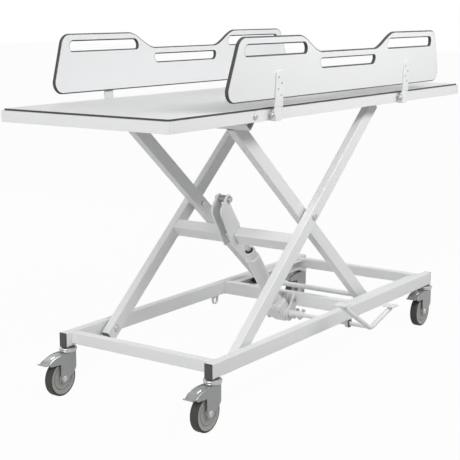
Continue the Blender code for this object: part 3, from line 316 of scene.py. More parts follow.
def hole(centre, radius, steps):
    """Points round a hole, without the first one again."""
    return arc(centre, radius, 0, 360 - 360 / steps, steps - 1)


def bend(start, corner, end, steps):
    """Points on a smooth bend between two ends that leans into a corner."""
    points = []
    for step in range(steps + 1):
        share = step / steps
        first = Vector(start).lerp(Vector(corner), share)
        second = Vector(corner).lerp(Vector(end), share)
        points.append(tuple(first.lerp(second, share)))
    return points


def round_rectangle(low, high, radii, steps=6):
    """Rectangle whose corner radii run from the lower left corner, anticlockwise."""
    corners = ((low[0], low[1], 1, 1, 180), (high[0], low[1], -1, 1, 270),
               (high[0], high[1], -1, -1, 0), (low[0], high[1], 1, -1, 90))
    points = []
    for (a, b, way_a, way_b, start), radius in zip(corners, radii):
        points += arc((a + way_a * radius, b + way_b * radius), radius, start, start + 90, steps)
    return points


def mirrored(points):
    """The same points on the other side of the upright axis, from last to first."""
    return [(-a, b) for a, b in reversed(points)]


def both_ends(half, middle=0.0):
    """A profile's first half and the same again beyond its middle."""
    return half + [(reach, 2 * middle - rise) for reach, rise in reversed(half)]


def bar_profile(radius, low, high, edge, bore=0.0):
    """Profile of a turned bar or sleeve with chamfered ends."""
    half = [(bore, low), (radius - edge, low), (radius, low + edge)]
    return both_ends(half, (low + high) / 2)


def bolt_profile(seat, way, shank, radius, height):
    """Profile points of a shank, a washer and a domed head that rise from a seat along the axis."""
    rim, washer = radius * 1.16, height * 0.22
    points = [(shank, 0.0), (rim, 0.0), (rim, washer * 0.7), (rim * 0.97, washer), (radius, washer)]
    points += bend((radius, height * 0.5), (radius * 0.95, height), (radius * 0.4, height), 6)
    points += [(0.0, height)]
    return [(reach, seat + way * rise) for reach, rise in points]


# Ways of making a piece

PLANES = {
    "xz": ((0, 1, 0), (QUARTER, 0, 0)),
    "xy": ((0, 0, 1), (0, 0, 0)),
    "yz": ((1, 0, 0), (QUARTER, 0, QUARTER)),
}
AXES = {"z": (0, 0, 0), "y": (-QUARTER, 0, 0), "x": (0, QUARTER, 0)}


def from_curve(routes, closed, ripple=1.0, **settings):
    """Draws a curve through routes of points and makes it a mesh; a ripple thins every other point."""
    curve = bpy.data.curves.new("route", "CURVE")
    for key, value in settings.items():
        setattr(curve, key, value)
    for route in routes:
        spline = curve.splines.new("POLY")
        spline.points.add(len(route) - 1)
        spline.use_cyclic_u = closed
        for index, (point, place) in enumerate(zip(spline.points, route)):
            point.co = (*place, 1.0)
            point.radius = 1.0 if index % 2 else ripple
    piece = bpy.data.objects.new("route", curve)
    bpy.context.collection.objects.link(piece)
    make_active(piece)
    bpy.ops.object.convert(target="MESH")
    return cleaned(bpy.context.object)


def plate(outlines, span, edge, edge_steps=2, plane="xz"):
    """Flat outlines, the inner ones as holes, raised between two levels with rounded edges."""
    low, high = sorted(span)
    routes = [[(a, b, 0.0) for a, b in outline] for outline in outlines]
    piece = from_curve(routes, True, dimensions="2D", fill_mode="BOTH", extrude=(high - low) / 2 - edge,
                       bevel_depth=edge, bevel_resolution=edge_steps, offset=-edge)
    across, turn = PLANES[plane]
    return settle(piece, Vector(across) * (low + high) / 2, turn)


def bent_bar(route, radius):
    """Round bar along a route of points, closed at both ends."""
    return from_curve([route], False, dimensions="3D", bevel_depth=radius, bevel_resolution=6,
                      use_fill_caps=True)


def weld_bead(corners, radius):
    """A closed bead through some corners, rippled along its length."""
    route = []
    for start, end in zip(corners, corners[1:] + corners[:1]):
        count = max(2, round((end - start).length / radius))
        route += [start.lerp(end, step / count) for step in range(count)]
    return from_curve([route], True, 0.8, dimensions="3D", bevel_depth=radius, bevel_resolution=2)


def tube(across, rise, along, plane, sizes):
    """Rectangular tube with rounded corners and open ends; across and rise are its two outer spans."""
    wall, corner = sizes.tube_wall, sizes.tube_corner
    outer = round_rectangle((across[0], rise[0]), (across[1], rise[1]), (corner,) * 4)
    low = (across[0] + wall, rise[0] + wall)
    high = (across[1] - wall, rise[1] - wall)
    inner = round_rectangle(low, high, (corner - wall,) * 4, 3)
    return plate((outer, inner), along, 0.0004, 1, plane)


def cross_tube(low, high, sizes):
    """Rectangular tube along Y between two corners."""
    return tube((low.x, high.x), (low.z, high.z), (low.y, high.y), "xz", sizes)


def end_welds(low, high, sizes):
    """Weld beads round both ends of such a tube."""
    section = ((low.x, low.z), (high.x, low.z), (high.x, high.z), (low.x, high.z))
    ends = [[Vector((x, y, z)) for x, z in section] for y in (low.y, high.y)]
    return [weld_bead(corners, sizes.weld_radius) for corners in ends]


def spun(profile, axis="z", steps=48, way=1):
    """A closed profile of (radius, distance along the axis) points spun into a round piece."""
    clear_selection()
    bpy.ops.mesh.primitive_circle_add(vertices=len(profile), fill_type="NOTHING")
    piece = bpy.context.object
    for vertex, (radius, distance) in zip(piece.data.vertices, profile):
        vertex.co = (radius, 0.0, way * distance)
    edit_all(piece)
    bpy.ops.mesh.spin(steps=steps, angle=math.tau, center=(0, 0, 0), axis=(0, 0, 1), use_auto_merge=True)
    return settle(close_edit(piece), turn=AXES[axis])


def round_bar(radius, low, high):
    """Plain turned bar along Y with chamfered ends."""
    return spun(bar_profile(radius, low, high, 0.0008), "y", 36)


def block(low, high, edge):
    """Box between two corners with rounded edges."""
    clear_selection()
    low, high = Vector(low), Vector(high)
    bpy.ops.mesh.primitive_cube_add(size=1.0, location=(low + high) / 2)
    piece = bpy.context.object
    piece.scale = high - low
    bpy.ops.object.transform_apply(location=True, rotation=True, scale=True)
    return soften(piece, edge)


def hexagon_head(radius, height, axis="z"):
    """Hexagon bolt head from the origin up, with a chamfered crown."""
    clear_selection()
    bpy.ops.mesh.primitive_cylinder_add(vertices=6, radius=radius, depth=height, location=(0, 0, height / 2))
    piece = bpy.context.object
    bpy.ops.object.transform_apply(location=True, rotation=True, scale=True)
    return settle(soften(piece, height * 0.14), turn=AXES[axis])


def dome_bolt(radius, height, axis):
    """Domed bolt head on a washer, with a shallow socket, from the origin up."""
    rim, washer = radius * 1.18, height * 0.22
    profile = [(0, 0), (rim, 0), (rim, washer * 0.8), (rim * 0.97, washer), (radius, washer)]
    profile += bend((radius, height * 0.55), (radius * 0.92, height), (radius * 0.45, height), 4)
    profile += [(radius * 0.36, height * 0.84), (0, height * 0.80)]
    return spun(profile, axis, 32)


def pivot_bolt(name, body, pivot, way, profile):
    """Turned bolt along Y, from a pivot out to one side."""
    piece = settle(spun(profile, "y", 40, way), PIVOTS[pivot])
    hand_over(coat(piece, "bolt"), body, name, "zinc")


# Finishes

FINISHES = {}
SLOT_FINISH = {
    "white_paint": "paint", "white_laminate": "laminate", "dark_plastic": "plastic",
    "roller_plastic": "roller", "zinc": "zinc", "chrome_rod": "rod", "wheel_rubber": "wheel",
}


def feed(tree, sockets, inputs):
    """Links each input that is given a socket and sets the others to the value given."""
    for title, given in inputs.items():
        if isinstance(given, bpy.types.NodeSocket):
            tree.links.new(given, sockets[title])
        else:
            sockets[title].default_value = given


def add_node(tree, kind, inputs, **settings):
    """A new node with its settings and inputs; gives back its outputs."""
    node = tree.nodes.new(kind)
    for key, value in settings.items():
        setattr(node, key, value)
    feed(tree, node.inputs, inputs)
    return node.outputs


def add_noise(tree, vector, scale, detail):
    inputs = {"Vector": vector, "Scale": scale, "Detail": detail}
    return add_node(tree, "ShaderNodeTexNoise", inputs)["Fac"]


def add_gloss(tree, noise, given):
    """Spreads the middle of a noise over a range of gloss."""
    inputs = {"Value": noise, "From Min": 0.3, "From Max": 0.7}
    inputs |= {"To Min": given["Gloss Low"], "To Max": given["Gloss High"]}
    return add_node(tree, "ShaderNodeMapRange", inputs)["Result"]


def new_group(name, inputs, outputs):
    """A shared node group with sockets of the given kinds."""
    group = bpy.data.node_groups.new(name, "ShaderNodeTree")
    for way, sockets in (("INPUT", inputs), ("OUTPUT", outputs)):
        for title, kind in sockets.items():
            group.interface.new_socket(title, in_out=way, socket_type=f"NodeSocket{kind}")
    return group, group.nodes.new("NodeGroupInput").outputs, group.nodes.new("NodeGroupOutput").inputs


def surface_grain_group():
    """Uneven colour and gloss over broad patches, and a fine grain for the bump."""
    inputs = {"Vector": "Vector", "Colour": "Color", "Patch Colour": "Color", "Patch Scale": "Float",
              "Gloss Low": "Float", "Gloss High": "Float", "Grain Scale": "Float"}
    outputs = {"Colour": "Color", "Roughness": "Float", "Height": "Float"}
    group, given, result = new_group("Surface grain", inputs, outputs)
    patch = add_noise(group, given["Vector"], given["Patch Scale"], 3.0)
    grain = add_noise(group, given["Vector"], given["Grain Scale"], 2.0)
    colours = {"Factor": patch, "A": given["Colour"], "B": given["Patch Colour"]}
    mixed = add_node(group, "ShaderNodeMix", colours, data_type="RGBA")["Result"]
    feed(group, result, {"Colour": mixed, "Roughness": add_gloss(group, patch, given), "Height": grain})


def drawn_lines_group():
    """Fine lines along one direction, as rolling or grinding leaves on metal."""
    inputs = {"Vector": "Vector", "Stretch": "Vector", "Scale": "Float",
              "Gloss Low": "Float", "Gloss High": "Float"}
    group, given, result = new_group("Drawn lines", inputs, {"Roughness": "Float", "Height": "Float"})
    factors = {0: given["Vector"], 1: given["Stretch"]}
    stretched = add_node(group, "ShaderNodeVectorMath", factors, operation="MULTIPLY")["Vector"]
    lines = add_noise(group, stretched, given["Scale"], 3.0)
    feed(group, result, {"Roughness": add_gloss(group, lines, given), "Height": lines})


def new_finish(name):
    finish = bpy.data.materials.new(name)
    finish.use_nodes = True
    return finish, finish.node_tree, finish.node_tree.nodes["Principled BSDF"]


def add_group(tree, name, values):
    """A shared node group on the object's own coordinates."""
    place = add_node(tree, "ShaderNodeTexCoord", {})["Object"]
    return add_node(tree, "ShaderNodeGroup", {"Vector": place} | values, node_tree=bpy.data.node_groups[name])


def patch_colours(base, drift):
    """The two colours that patches run between, a little darker and a little lighter than the base."""
    shades = []
    for share in (1.0 - drift, 1.0 + drift):
        shades.append((*[min(channel * share, 1.0) for channel in base], 1.0))
    return {"Colour": shades[0], "Patch Colour": shades[1]}


def add_bump(tree, height, strength, depth):
    inputs = {"Strength": strength, "Distance": depth, "Height": height}
    return add_node(tree, "ShaderNodeBump", inputs)["Normal"]


def grained(name, base, drift, patch, gloss, grain, depth, strength=0.3, specular=0.5):
    """A painted, laminated or moulded finish: base colour, drift of its patches, gloss range and grain."""
    finish, tree, shader = new_finish(name)
    values = {"Patch Scale": patch, "Gloss Low": gloss[0], "Gloss High": gloss[1], "Grain Scale": grain}
    surface = add_group(tree, "Surface grain", patch_colours(base, drift) | values)
    feed(tree, shader.inputs, {
        "Base Color": surface["Colour"], "Roughness": surface["Roughness"], "Specular IOR Level": specular,
        "Normal": add_bump(tree, surface["Height"], strength, depth),
    })
    return finish


def drawn(name, base, drift, stretch, gloss, scale, depth, metallic):
    """A metal finish with fine lines along one direction and faint patches of colour."""
    finish, tree, shader = new_finish(name)
    values = {"Stretch": stretch, "Scale": scale, "Gloss Low": gloss[0], "Gloss High": gloss[1]}
    lines = add_group(tree, "Drawn lines", values)
    patches = add_group(tree, "Surface grain", patch_colours(base, drift) | {"Patch Scale": 60.0})
    feed(tree, shader.inputs, {
        "Base Color": patches["Colour"], "Roughness": lines["Roughness"], "Metallic": metallic,
        "Normal": add_bump(tree, lines["Height"], 0.2, depth),
    })
    return finish


def make_finishes(tints):
    surface_grain_group()
    drawn_lines_group()
    across, along = (1.0, 1.0, 3.0), (1.0, 1.0, 0.1)
    FINISHES.update({
        "paint": grained("powder coat", tints.paint, 0.012, 9.0, (0.34, 0.46), 900.0, 0.00012),
        "laminate": grained("white laminate", tints.laminate, 0.008, 6.0, (0.34, 0.42), 1600.0, 0.00006,
                            specular=0.12),
        "core": grained("board core", tints.core, 0.10, 60.0, (0.38, 0.55), 2200.0, 0.0001),
        "plastic": grained("moulded plastic", tints.plastic, 0.06, 40.0, (0.42, 0.58), 1800.0, 0.0001),
        "roller": grained("roller nylon", tints.plastic, 0.10, 80.0, (0.40, 0.60), 1500.0, 0.0001),
        "tread": grained("tyre tread", tints.tread, 0.10, 70.0, (0.60, 0.78), 1400.0, 0.0002, 0.4, 0.3),
        "wheel": grained("wheel side", tints.wheel, 0.05, 50.0, (0.46, 0.60), 1300.0, 0.00012),
        "zinc": drawn("zinc plate", tints.zinc, 0.06, (1.0, 0.25, 2.5), (0.34, 0.46), 420.0, 0.00004, 0.45),
        "bolt": drawn("bright zinc", tints.steel, 0.05, across, (0.26, 0.40), 600.0, 0.00003, 0.9),
        # Painted highlight finish: bright metal in the near-white edge colour
        "edge": drawn("painted edge highlight", tints.edge, 0.04, across, (0.24, 0.34), 600.0, 0.00003, 0.9),
        "rod": drawn("ground steel", tints.steel, 0.04, along, (0.24, 0.36), 900.0, 0.00002, 0.9),
    })


class TROLLEY_OT_finishes(bpy.types.Operator):
    """Makes the finishes and gives one to each node of the frame"""

    bl_idname = "trolley.finishes"
    bl_label = "Finishes"

    def execute(self, context):
        make_finishes(context.scene.trolley_colours)
        for name, node in NODES.items():
            coat(node, SLOT_FINISH[NODE_SLOTS[name]])
        return {"FINISHED"}


# Base


def end_cap(low, high, way, flange):
    """Push-in cap for a tube: a flange with a raised face and a plug; way is where its face looks along X."""
    raised, rim, wall = flange * 0.15, 0.003, 0.0025
    face = low.x if way < 0 else high.x
    start, end = sorted((face - way * (flange - GAP), face - way * raised))
    piece = block((start, low.y, low.z), (end, high.y, high.z), 0.0008)
    press_face(piece, Vector((way, 0, 0)), rim, raised)
    return press_face(piece, Vector((-way, 0, 0)), wall, abs(high.x - low.x) - flange)


def base_side(side, way, sizes):
    """Long tube, caps, roller track, lower pivot and bearing of one side."""
    flange = sizes.cap_flange
    boxes = {end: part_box(f"tube_cap_{end}_{side}") for end in ENDS}
    low, high = boxes["head"][0], boxes["foot"][1]
    piece = tube((low.y, high.y), (low.z, high.z), (low.x + flange, high.x - flange), "yz", sizes)
    hand_over(piece, "base", f"base_tube_{side}")
    for end, looks in ENDS.items():
        hand_over(end_cap(*boxes[end], looks, flange), "base", f"tube_cap_{end}_{side}")
    inner_face = low.y if way > 0 else high.y
    roller_track(side, way, inner_face)
    lower_pivot(side, way, inner_face)
    bearing_width = 0.012 if way < 0 else 0.010
    shaft_bearing(side, (low.y + high.y) / 2, low.z, bearing_width)


def roller_track(side, way, inner_face):
    """Two flat strips that the lower roller runs between."""
    gauge, depth, clear = 0.003, 0.034, 0.003
    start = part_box("cross_tube_middle")[1].x + clear
    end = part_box("cross_tube_foot")[0].x
    centre = PIVOTS["lower_roller_spin"].z
    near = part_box(f"lower_roller_{side}")[1].z - centre + GAP
    inside, outside = sorted((inner_face, inner_face - way * depth))
    strips = []
    for up in (-1, 1):
        foot, top = sorted((centre + up * near, centre + up * (near + gauge)))
        strips.append(block((start, inside, foot), (end, outside, top), 0.0006))
    hand_over(joined(strips), "base", f"roller_track_{side}")


def outer_leg_faces(side):
    """How far an outer leg's inner and outer faces are from the middle."""
    low, high = cad_box(f"outer_leg_{side}", *OUTER)
    return sorted((abs(low.y), abs(high.y)))


def lower_pivot(side, way, inner_face):
    """Stud and bolt that the outer leg turns on."""
    leg_in, leg_out = outer_leg_faces(side)
    face = abs(inner_face - MIDDLE_Y)
    stud, shank = 0.012, 0.007
    profile = [(0, face), (stud, face), (stud, leg_out + GAP), (shank, leg_out + GAP)]
    profile += bolt_profile(leg_in - GAP, -1, shank, 0.0105, 0.0058)
    pivot_bolt(f"lower_pivot_bolt_{side}", "base", "lift", way, profile)


def shaft_bearing(side, y, tube_foot, width):
    """Hanger under the tube, with a barrel where it carries the pedal shaft."""
    shaft = PIVOTS["pump_tilt"]
    top = tube_foot - shaft.z
    outer, bore, flare = 0.0165, 0.0123, 0.005
    flank = [(-outer - flare, top)]
    flank += bend((-outer - flare * 0.5, top * 0.6), (-outer, top * 0.3), (-outer, 0), 4)
    hanger = flank + arc((0, 0), outer, 180, 360, 20)[1:] + mirrored(flank[:-1])
    piece = plate((hanger, hole((0, 0), bore, 30)), (-width / 2, width / 2), 0.0009)
    hand_over(settle(piece, (shaft.x, y, shaft.z)), "base", f"shaft_bearing_{side}")


def shaft_bush():
    """Flanged bush between the pedal shaft and its bearing."""
    low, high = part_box("shaft_bush")
    flange, barrel, bore, edge = (high.z - low.z) / 2, 0.012, 0.0083, 0.0008
    face, seat = low.y, low.y + 0.003
    profile = [(bore, high.y), (barrel, high.y), (barrel, seat), (flange, seat), (flange, face + edge),
               (flange - edge, face), (bore + 0.001, face), (bore, face + 0.001)]
    hand_over(settle(spun(profile, "y", 40), on_axis("pump_tilt")), "base", "shaft_bush")


class TROLLEY_OT_base(bpy.types.Operator):
    """Models the base frame: long tubes, cross tubes, caps, tracks and bearings"""

    bl_idname = "trolley.base"
    bl_label = "Base frame"

    def execute(self, context):
        sizes = context.scene.trolley_sizes
        for side, way in SIDES.items():
            base_side(side, way, sizes)
        nodes = [f"cross_tube_{place}" for place in ("head", "middle", "foot")]
        for node in nodes:
            hand_over(cross_tube(*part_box(node), sizes), "base", node)
        shaft_bush()
        welds = [bead for node in nodes for bead in end_welds(*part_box(node), sizes)]
        hand_over(joined(welds), "base", "base_welds")
        return {"FINISHED"}


# Castors, modelled once about the swivel axis and copied to the four corners


def castor_wheel(sizes):
    """Wheel centre with a hub, a groove beside the tyre and a dark tread."""
    radius, tyre = sizes.wheel_radius, sizes.tyre_side
    side = [(0.0056, 0.01825), (0.0125, 0.01825), (0.0135, 0.0172), (0.0142, 0.0140), (0.0160, 0.0125)]
    side += [(0.0382, 0.0128), (0.0390, 0.0122), (0.0394, 0.0096), (0.0412, 0.0096), (0.0416, 0.0124)]
    side += [(0.0428, 0.0134), (0.0500, 0.0144), (tyre - 0.0006, 0.0148), (tyre, 0.0143)]
    side += bend((tyre + 0.0004, 0.0147), (radius, 0.0147), (radius, 0.0085), 8)
    piece = coat(spun(both_ends(side), "y", 72), "wheel")
    return paint_faces(piece, "tread", lambda centre, normal: math.hypot(centre.x, centre.z) > tyre)


def fork_outline(top, radius, trail, front):
    """Side of the pressed fork: a leg down to the axle and a wing over the trailing wheel."""
    end = arc((-trail - 0.0035, radius), 0.0135, -50, -180, 14)
    leg_back = -trail - 0.0175
    wing_low = top - 0.0305
    heel = (-0.1045, wing_low + 0.0019)
    tip = (-0.1134, top - 0.0193)
    points = [(front, top)]
    points += bend((front, top - 0.040), (0.0185, radius + 0.0175), end[0], 10)[:-1]
    points += end
    points += bend((end[-1][0], radius + 0.006), (leg_back, radius + 0.0155), (leg_back, radius + 0.026), 5)
    points += bend((leg_back, wing_low - 0.006), (leg_back, wing_low), (leg_back - 0.006, wing_low), 4)
    points += bend(heel, (tip[0], wing_low + 0.0035), tip, 6)
    points += bend(tip, (-0.096, top - 0.0015), (-0.052, top), 14)[1:]
    return points


def castor_fork(top, radius, trail):
    """Pressed fork wrapped round the front, with a crown plate and the axle bolt."""
    front, back, gauge, half = 0.0225, -0.13, 0.003, 0.0230
    inner, outer_r = half - gauge, 0.012
    inner_r, centre_x = outer_r - gauge, front - outer_r
    plan = [(back, -half), *arc((centre_x, outer_r - half), outer_r, -90, 0, 8)]
    plan += arc((centre_x, half - outer_r), outer_r, 0, 90, 8)
    plan += [(back, half), (back, inner)]
    plan += arc((centre_x, inner - inner_r), inner_r, 90, 0, 6)
    plan += arc((centre_x, inner_r - inner), inner_r, 0, -90, 6)
    plan += [(back, -inner)]
    walls = plate([plan], (0.03, top + 0.01), 0.0, plane="xy")
    cheeks = plate([fork_outline(top, radius, trail, front)], (-0.05, 0.05), 0.0)
    fork = combine(walls, cheeks, "INTERSECT")
    inset = 0.001
    corners = (0.004, outer_r - inset, outer_r - inset, 0.004)
    crown_outline = round_rectangle((-0.0305, inset - half), (front - inset, half - inset), corners)
    crown = plate([crown_outline], (top - 0.004, top - 0.0002), 0.0, plane="xy")
    fork = coat(soften(combine(fork, crown, "UNION"), 0.0009), "zinc")
    # Painted highlight: the upward-facing faces of the cheeks' top edges take the near-white edge finish
    paint_faces(fork, "edge", lambda centre, normal: normal.z > 0.3 and abs(centre.y) > inner - 0.0004)
    head = [(0, half - 0.001), *bolt_profile(half, 1, 0.0052, 0.0096, 0.0034)]
    axle = [spun(head, "y", 36, way) for way in (-1, 1)]
    axle.append(spun([(0, -half), (0.005, -half), (0.005, half), (0, half)], "y", 24))
    return joined([fork, *[coat(settle(piece, (-trail, 0, radius)), "bolt") for piece in axle]])


def castor_head(top, foot):
    """Swivel head with two ball-race rings; the neck below the tube is coloured dark plastic as painted shade."""
    seal = foot + 0.0148
    profile = [(0, foot), (0.0262, foot)]
    profile += bend((0.0282, foot + 0.0006), (0.0298, foot + 0.0022), (0.0284, foot + 0.0042), 4)
    profile += bend((0.0284, foot + 0.0048), (0.0318, foot + 0.0062), (0.0306, foot + 0.0118), 6)
    profile += bend((0.0302, foot + 0.0132), (0.0288, foot + 0.0144), (0.0264, seal), 4)
    profile += [(0.0215, seal + 0.0003), (0.0208, seal + 0.0012), (0.0204, top), (0, top)]
    piece = coat(spun(profile, "z", 56), "bolt")
    # Painted shade: every face above the seal level, the rings' inner top and the neck, takes the dark plastic
    # finish
    return paint_faces(piece, "plastic", lambda centre, normal: centre.z > seal + 0.0004)


def arched_sheet(line, half, drop, gauge):
    """Sheet along a line, arched across its width and flat again at the line's start."""
    clear_selection()
    across, row = 10, len(line)
    flat_until, fade = line[0][0] + 0.014, 0.03
    bpy.ops.mesh.primitive_grid_add(x_subdivisions=row - 1, y_subdivisions=across)
    piece = bpy.context.object
    for index, vertex in enumerate(piece.data.vertices):
        x, z = line[index % row]
        share = 2 * (index // row) / across - 1
        arch = drop * min(max((x - flat_until) / fade, 0.0), 1.0)
        vertex.co = (x, share * half, z - arch * share * share)
    apply_modifier(piece, "SOLIDIFY", thickness=gauge, offset=-1.0)
    return soften(cleaned(piece), 0.0006)


def brake_pedal(top):
    """Arched foot pedal between the cheeks, with a pressed rib, a flared lip and a pivot lug."""
    half, wide, tip = 0.018, 0.0195, -0.1280
    upper = [(-0.0325, top - 0.0006)]
    upper += bend((-0.052, top - 0.0003), (-0.096, top - 0.0018), (-0.1115, top - 0.0190), 14)
    upper += bend((-0.113, top - 0.0200), (-0.120, top - 0.0216), (tip, top - 0.0178), 6)
    sheet = arched_sheet(upper[::-1], wide, 0.0006, 0.0025)
    rib = bent_bar([Vector((x, -0.0080, z - 0.0006)) for x, z in upper[5:10]], 0.0032)
    lug = [(0.004, 0), (0.004, 0.0095), (-0.015, 0.0085)]
    lug += bend((-0.017, 0.004), (-0.019, 0), (-0.014, -0.003), 5)
    lug += [(-0.003, -0.003)]
    pivot = (-0.037, 0, top - 0.013)
    hook = settle(plate([lug], (-half / 2, half / 2), 0.0006), pivot)
    boss = settle(spun(bar_profile(0.005, -half, half, 0.0005), "y", 28), pivot)
    curl = settle(round_bar(0.0024, -wide, wide), (tip, 0, top - 0.0200))
    # The rib takes the near-white edge finish as a painted highlight
    return joined([*[coat(piece, "zinc") for piece in (sheet, hook, boss, curl)], coat(rib, "edge")])


class TROLLEY_OT_castors(bpy.types.Operator):
    """Models one braked castor and copies it to the four corners"""

    bl_idname = "trolley.castors"
    bl_label = "Castors"

    def execute(self, context):
        swivel, axle = PIVOTS["swivel_head_right"], PIVOTS["wheel_head_right_spin"]
        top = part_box("castor_fork_head_right")[1].z
        head_low, head_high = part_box("castor_head_head_right")
        wheel = settle(castor_wheel(context.scene.trolley_sizes), axle - swivel.xy.to_3d())
        kinds = {
            "castor_wheel": (wheel, "wheel_{}"),
            "castor_fork": (castor_fork(top, axle.z, swivel.x - axle.x), "fork_{}"),
            "castor_head": (castor_head(head_high.z, head_low.z), "base"),
            "brake_pedal": (brake_pedal(top), "brake_{}"),
        }
        for corner in [f"{end}_{side}" for end in ENDS for side in SIDES]:
            for kind, (model, body) in kinds.items():
                piece = copy_of(model, PIVOTS[f"swivel_{corner}"].xy.to_3d())
                hand_over(piece, body.format(corner), f"{kind}_{corner}")
        for model, body in kinds.values():
            bpy.data.objects.remove(model, do_unlink=True)
        return {"FINISHED"}


# Scissor, along its legs


def outer_leg(side, sizes):
    """Leg from the lower pivot up to the roller axle, with a tongue at its top and a cap at its foot."""
    node = f"outer_leg_{side}"
    low, high = cad_box(node, *OUTER)
    axle = 2 * HALF_LEG
    tube_end = axle - 0.032
    root, reach = tube_end - 0.006, high.x - axle
    middle, half = (low.y + high.y) / 2, 0.006
    leg = tube((low.y, high.y), (low.z, high.z), (low.x, tube_end), "yz", sizes)
    plug_outline = round_rectangle((low.y, low.z), (high.y, high.z), (sizes.tube_corner,) * 4)
    plug = plate([plug_outline], (tube_end - 0.001, tube_end + 0.003), 0.0008, plane="yz")
    tongue = [(root, -reach), *arc((axle, 0), reach, -90, 90, 18), (root, reach)]
    lug = plate((tongue, hole((axle, 0), 0.0103, 24)), (middle - half, middle + half), 0.0008)
    hand_over(place_in(joined((leg, plug, lug)), *OUTER), "outer_frame", node)
    node = f"leg_cap_{side}"
    cap = end_cap(*cad_box(node, *OUTER), -1, sizes.cap_flange)
    hand_over(place_in(cap, *OUTER), "outer_frame", node)


def inner_leg(side, way, sizes):
    """Leg through the middle pivot, with the pivot's bolt, spacer and nut."""
    node = f"inner_leg_{side}"
    low, high = cad_box(node, *INNER)
    outer_in, outer_out = outer_leg_faces(side)
    leg_in = min(abs(low.y), abs(high.y)) + 0.006
    leg_out = leg_in + (outer_out - outer_in)
    across = sorted((way * leg_in, way * leg_out))
    piece = tube(across, (low.z, high.z), (low.x, high.x), "yz", sizes)
    hand_over(place_in(piece, *INNER), "inner_frame", node)
    shank, spacer, nut, nut_end, edge = 0.007, 0.012, 0.0085, leg_in - 0.0055, 0.001
    profile = [(0, nut_end), (nut - edge, nut_end), (nut, nut_end + edge), (nut, leg_in), (shank, leg_in)]
    profile += [(shank, leg_out), (spacer, leg_out), (spacer, outer_in - GAP), (shank, outer_in - GAP)]
    profile += bolt_profile(outer_out + GAP, 1, shank, sizes.bolt_radius, 0.0058)
    pivot_bolt(f"middle_pivot_bolt_{side}", "inner_frame", "scissor_pivot", way, profile)


def top_tube(sizes):
    """Upper cross tube of the inner legs, with its pivot lugs and the bolts through the side rails."""
    rail_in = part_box("side_rail_left")[0].y - MIDDLE_Y
    rail_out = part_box("end_rail_head")[1].y - MIDDLE_Y + GAP
    end = rail_in - 2 * GAP
    start, wide, half_rise, lug_r = 0.020 - HALF_LEG, 0.030, 0.022, 0.014
    pieces = [tube((start, start + wide), (-half_rise, half_rise), (-end, end), "xz", sizes)]
    root = start + 0.002
    lug = [(root, -lug_r), (root, lug_r), *arc((-HALF_LEG, 0), lug_r, 90, 270, 18)]
    for way in SIDES.values():
        pieces.append(plate([lug], (way * (end - 0.006), way * end), 0.0006))
    hand_over(place_in(joined(pieces), *INNER), "inner_frame", "inner_top_tube")
    shank, bolt_end = 0.006, end - 0.004
    profile = [(0, bolt_end), (shank, bolt_end), *bolt_profile(rail_out, 1, shank, 0.0095, 0.0052)]
    for side, way in SIDES.items():
        pivot_bolt(f"top_pivot_bolt_{side}", "inner_frame", "table_pivot", way, profile)


def roller(bore, radius, low, high):
    """Track roller with rounded rims and a stepped bearing face."""
    wall, step = radius - bore, 0.0012
    hub, rim = bore + 0.4 * wall, min(0.0022, 0.3 * wall)
    half = [(bore, low + step), (hub, low + step), (hub + 0.1 * wall, low)]
    half += bend((radius - rim, low), (radius, low), (radius, low + rim), 4)
    return spun(both_ends(half, (low + high) / 2), "y", 48)


def rollers():
    """Lower rollers and their axle, and the upper axle with a roller at each end."""
    for side in SIDES:
        node = f"lower_roller_{side}"
        low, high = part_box(node)
        piece = roller(0.0102, (high.z - low.z) / 2, low.y, high.y)
        hand_over(settle(piece, on_axis("lower_roller_spin")), "lower_rollers", node)
    low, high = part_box("lower_axle")
    piece = round_bar((high.z - low.z) / 2, low.y, high.y)
    hand_over(settle(piece, on_axis("lower_roller_spin")), "inner_frame", "lower_axle")
    low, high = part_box("upper_roller_set")
    width = 0.020
    pieces = [coat(round_bar(0.010, low.y, high.y), "rod")]
    for start in (low.y, high.y - width):
        pieces.append(coat(roller(0.0101, (high.z - low.z) / 2, start, start + width), "roller"))
    piece = settle(joined(pieces), on_axis("upper_roller_spin"))
    hand_over(piece, "upper_rollers", "upper_roller_set")


def lift_crossbar(sizes):
    """Cross bar between the outer legs with its weld beads."""
    box = cad_box("lift_crossbar", *OUTER)
    hand_over(place_in(cross_tube(*box, sizes), *OUTER), "outer_frame", "lift_crossbar")
    hand_over(place_in(joined(end_welds(*box, sizes)), *OUTER), "outer_frame", "crossbar_welds")


class TROLLEY_OT_scissor(bpy.types.Operator):
    """Models the scissor legs, their pivots, axles and rollers"""

    bl_idname = "trolley.scissor"
    bl_label = "Scissor"

    def execute(self, context):
        sizes = context.scene.trolley_sizes
        for side, way in SIDES.items():
            outer_leg(side, sizes)
            inner_leg(side, way, sizes)
        top_tube(sizes)
        lift_crossbar(sizes)
        rollers()
        return {"FINISHED"}


# Lift lever and hydraulic unit


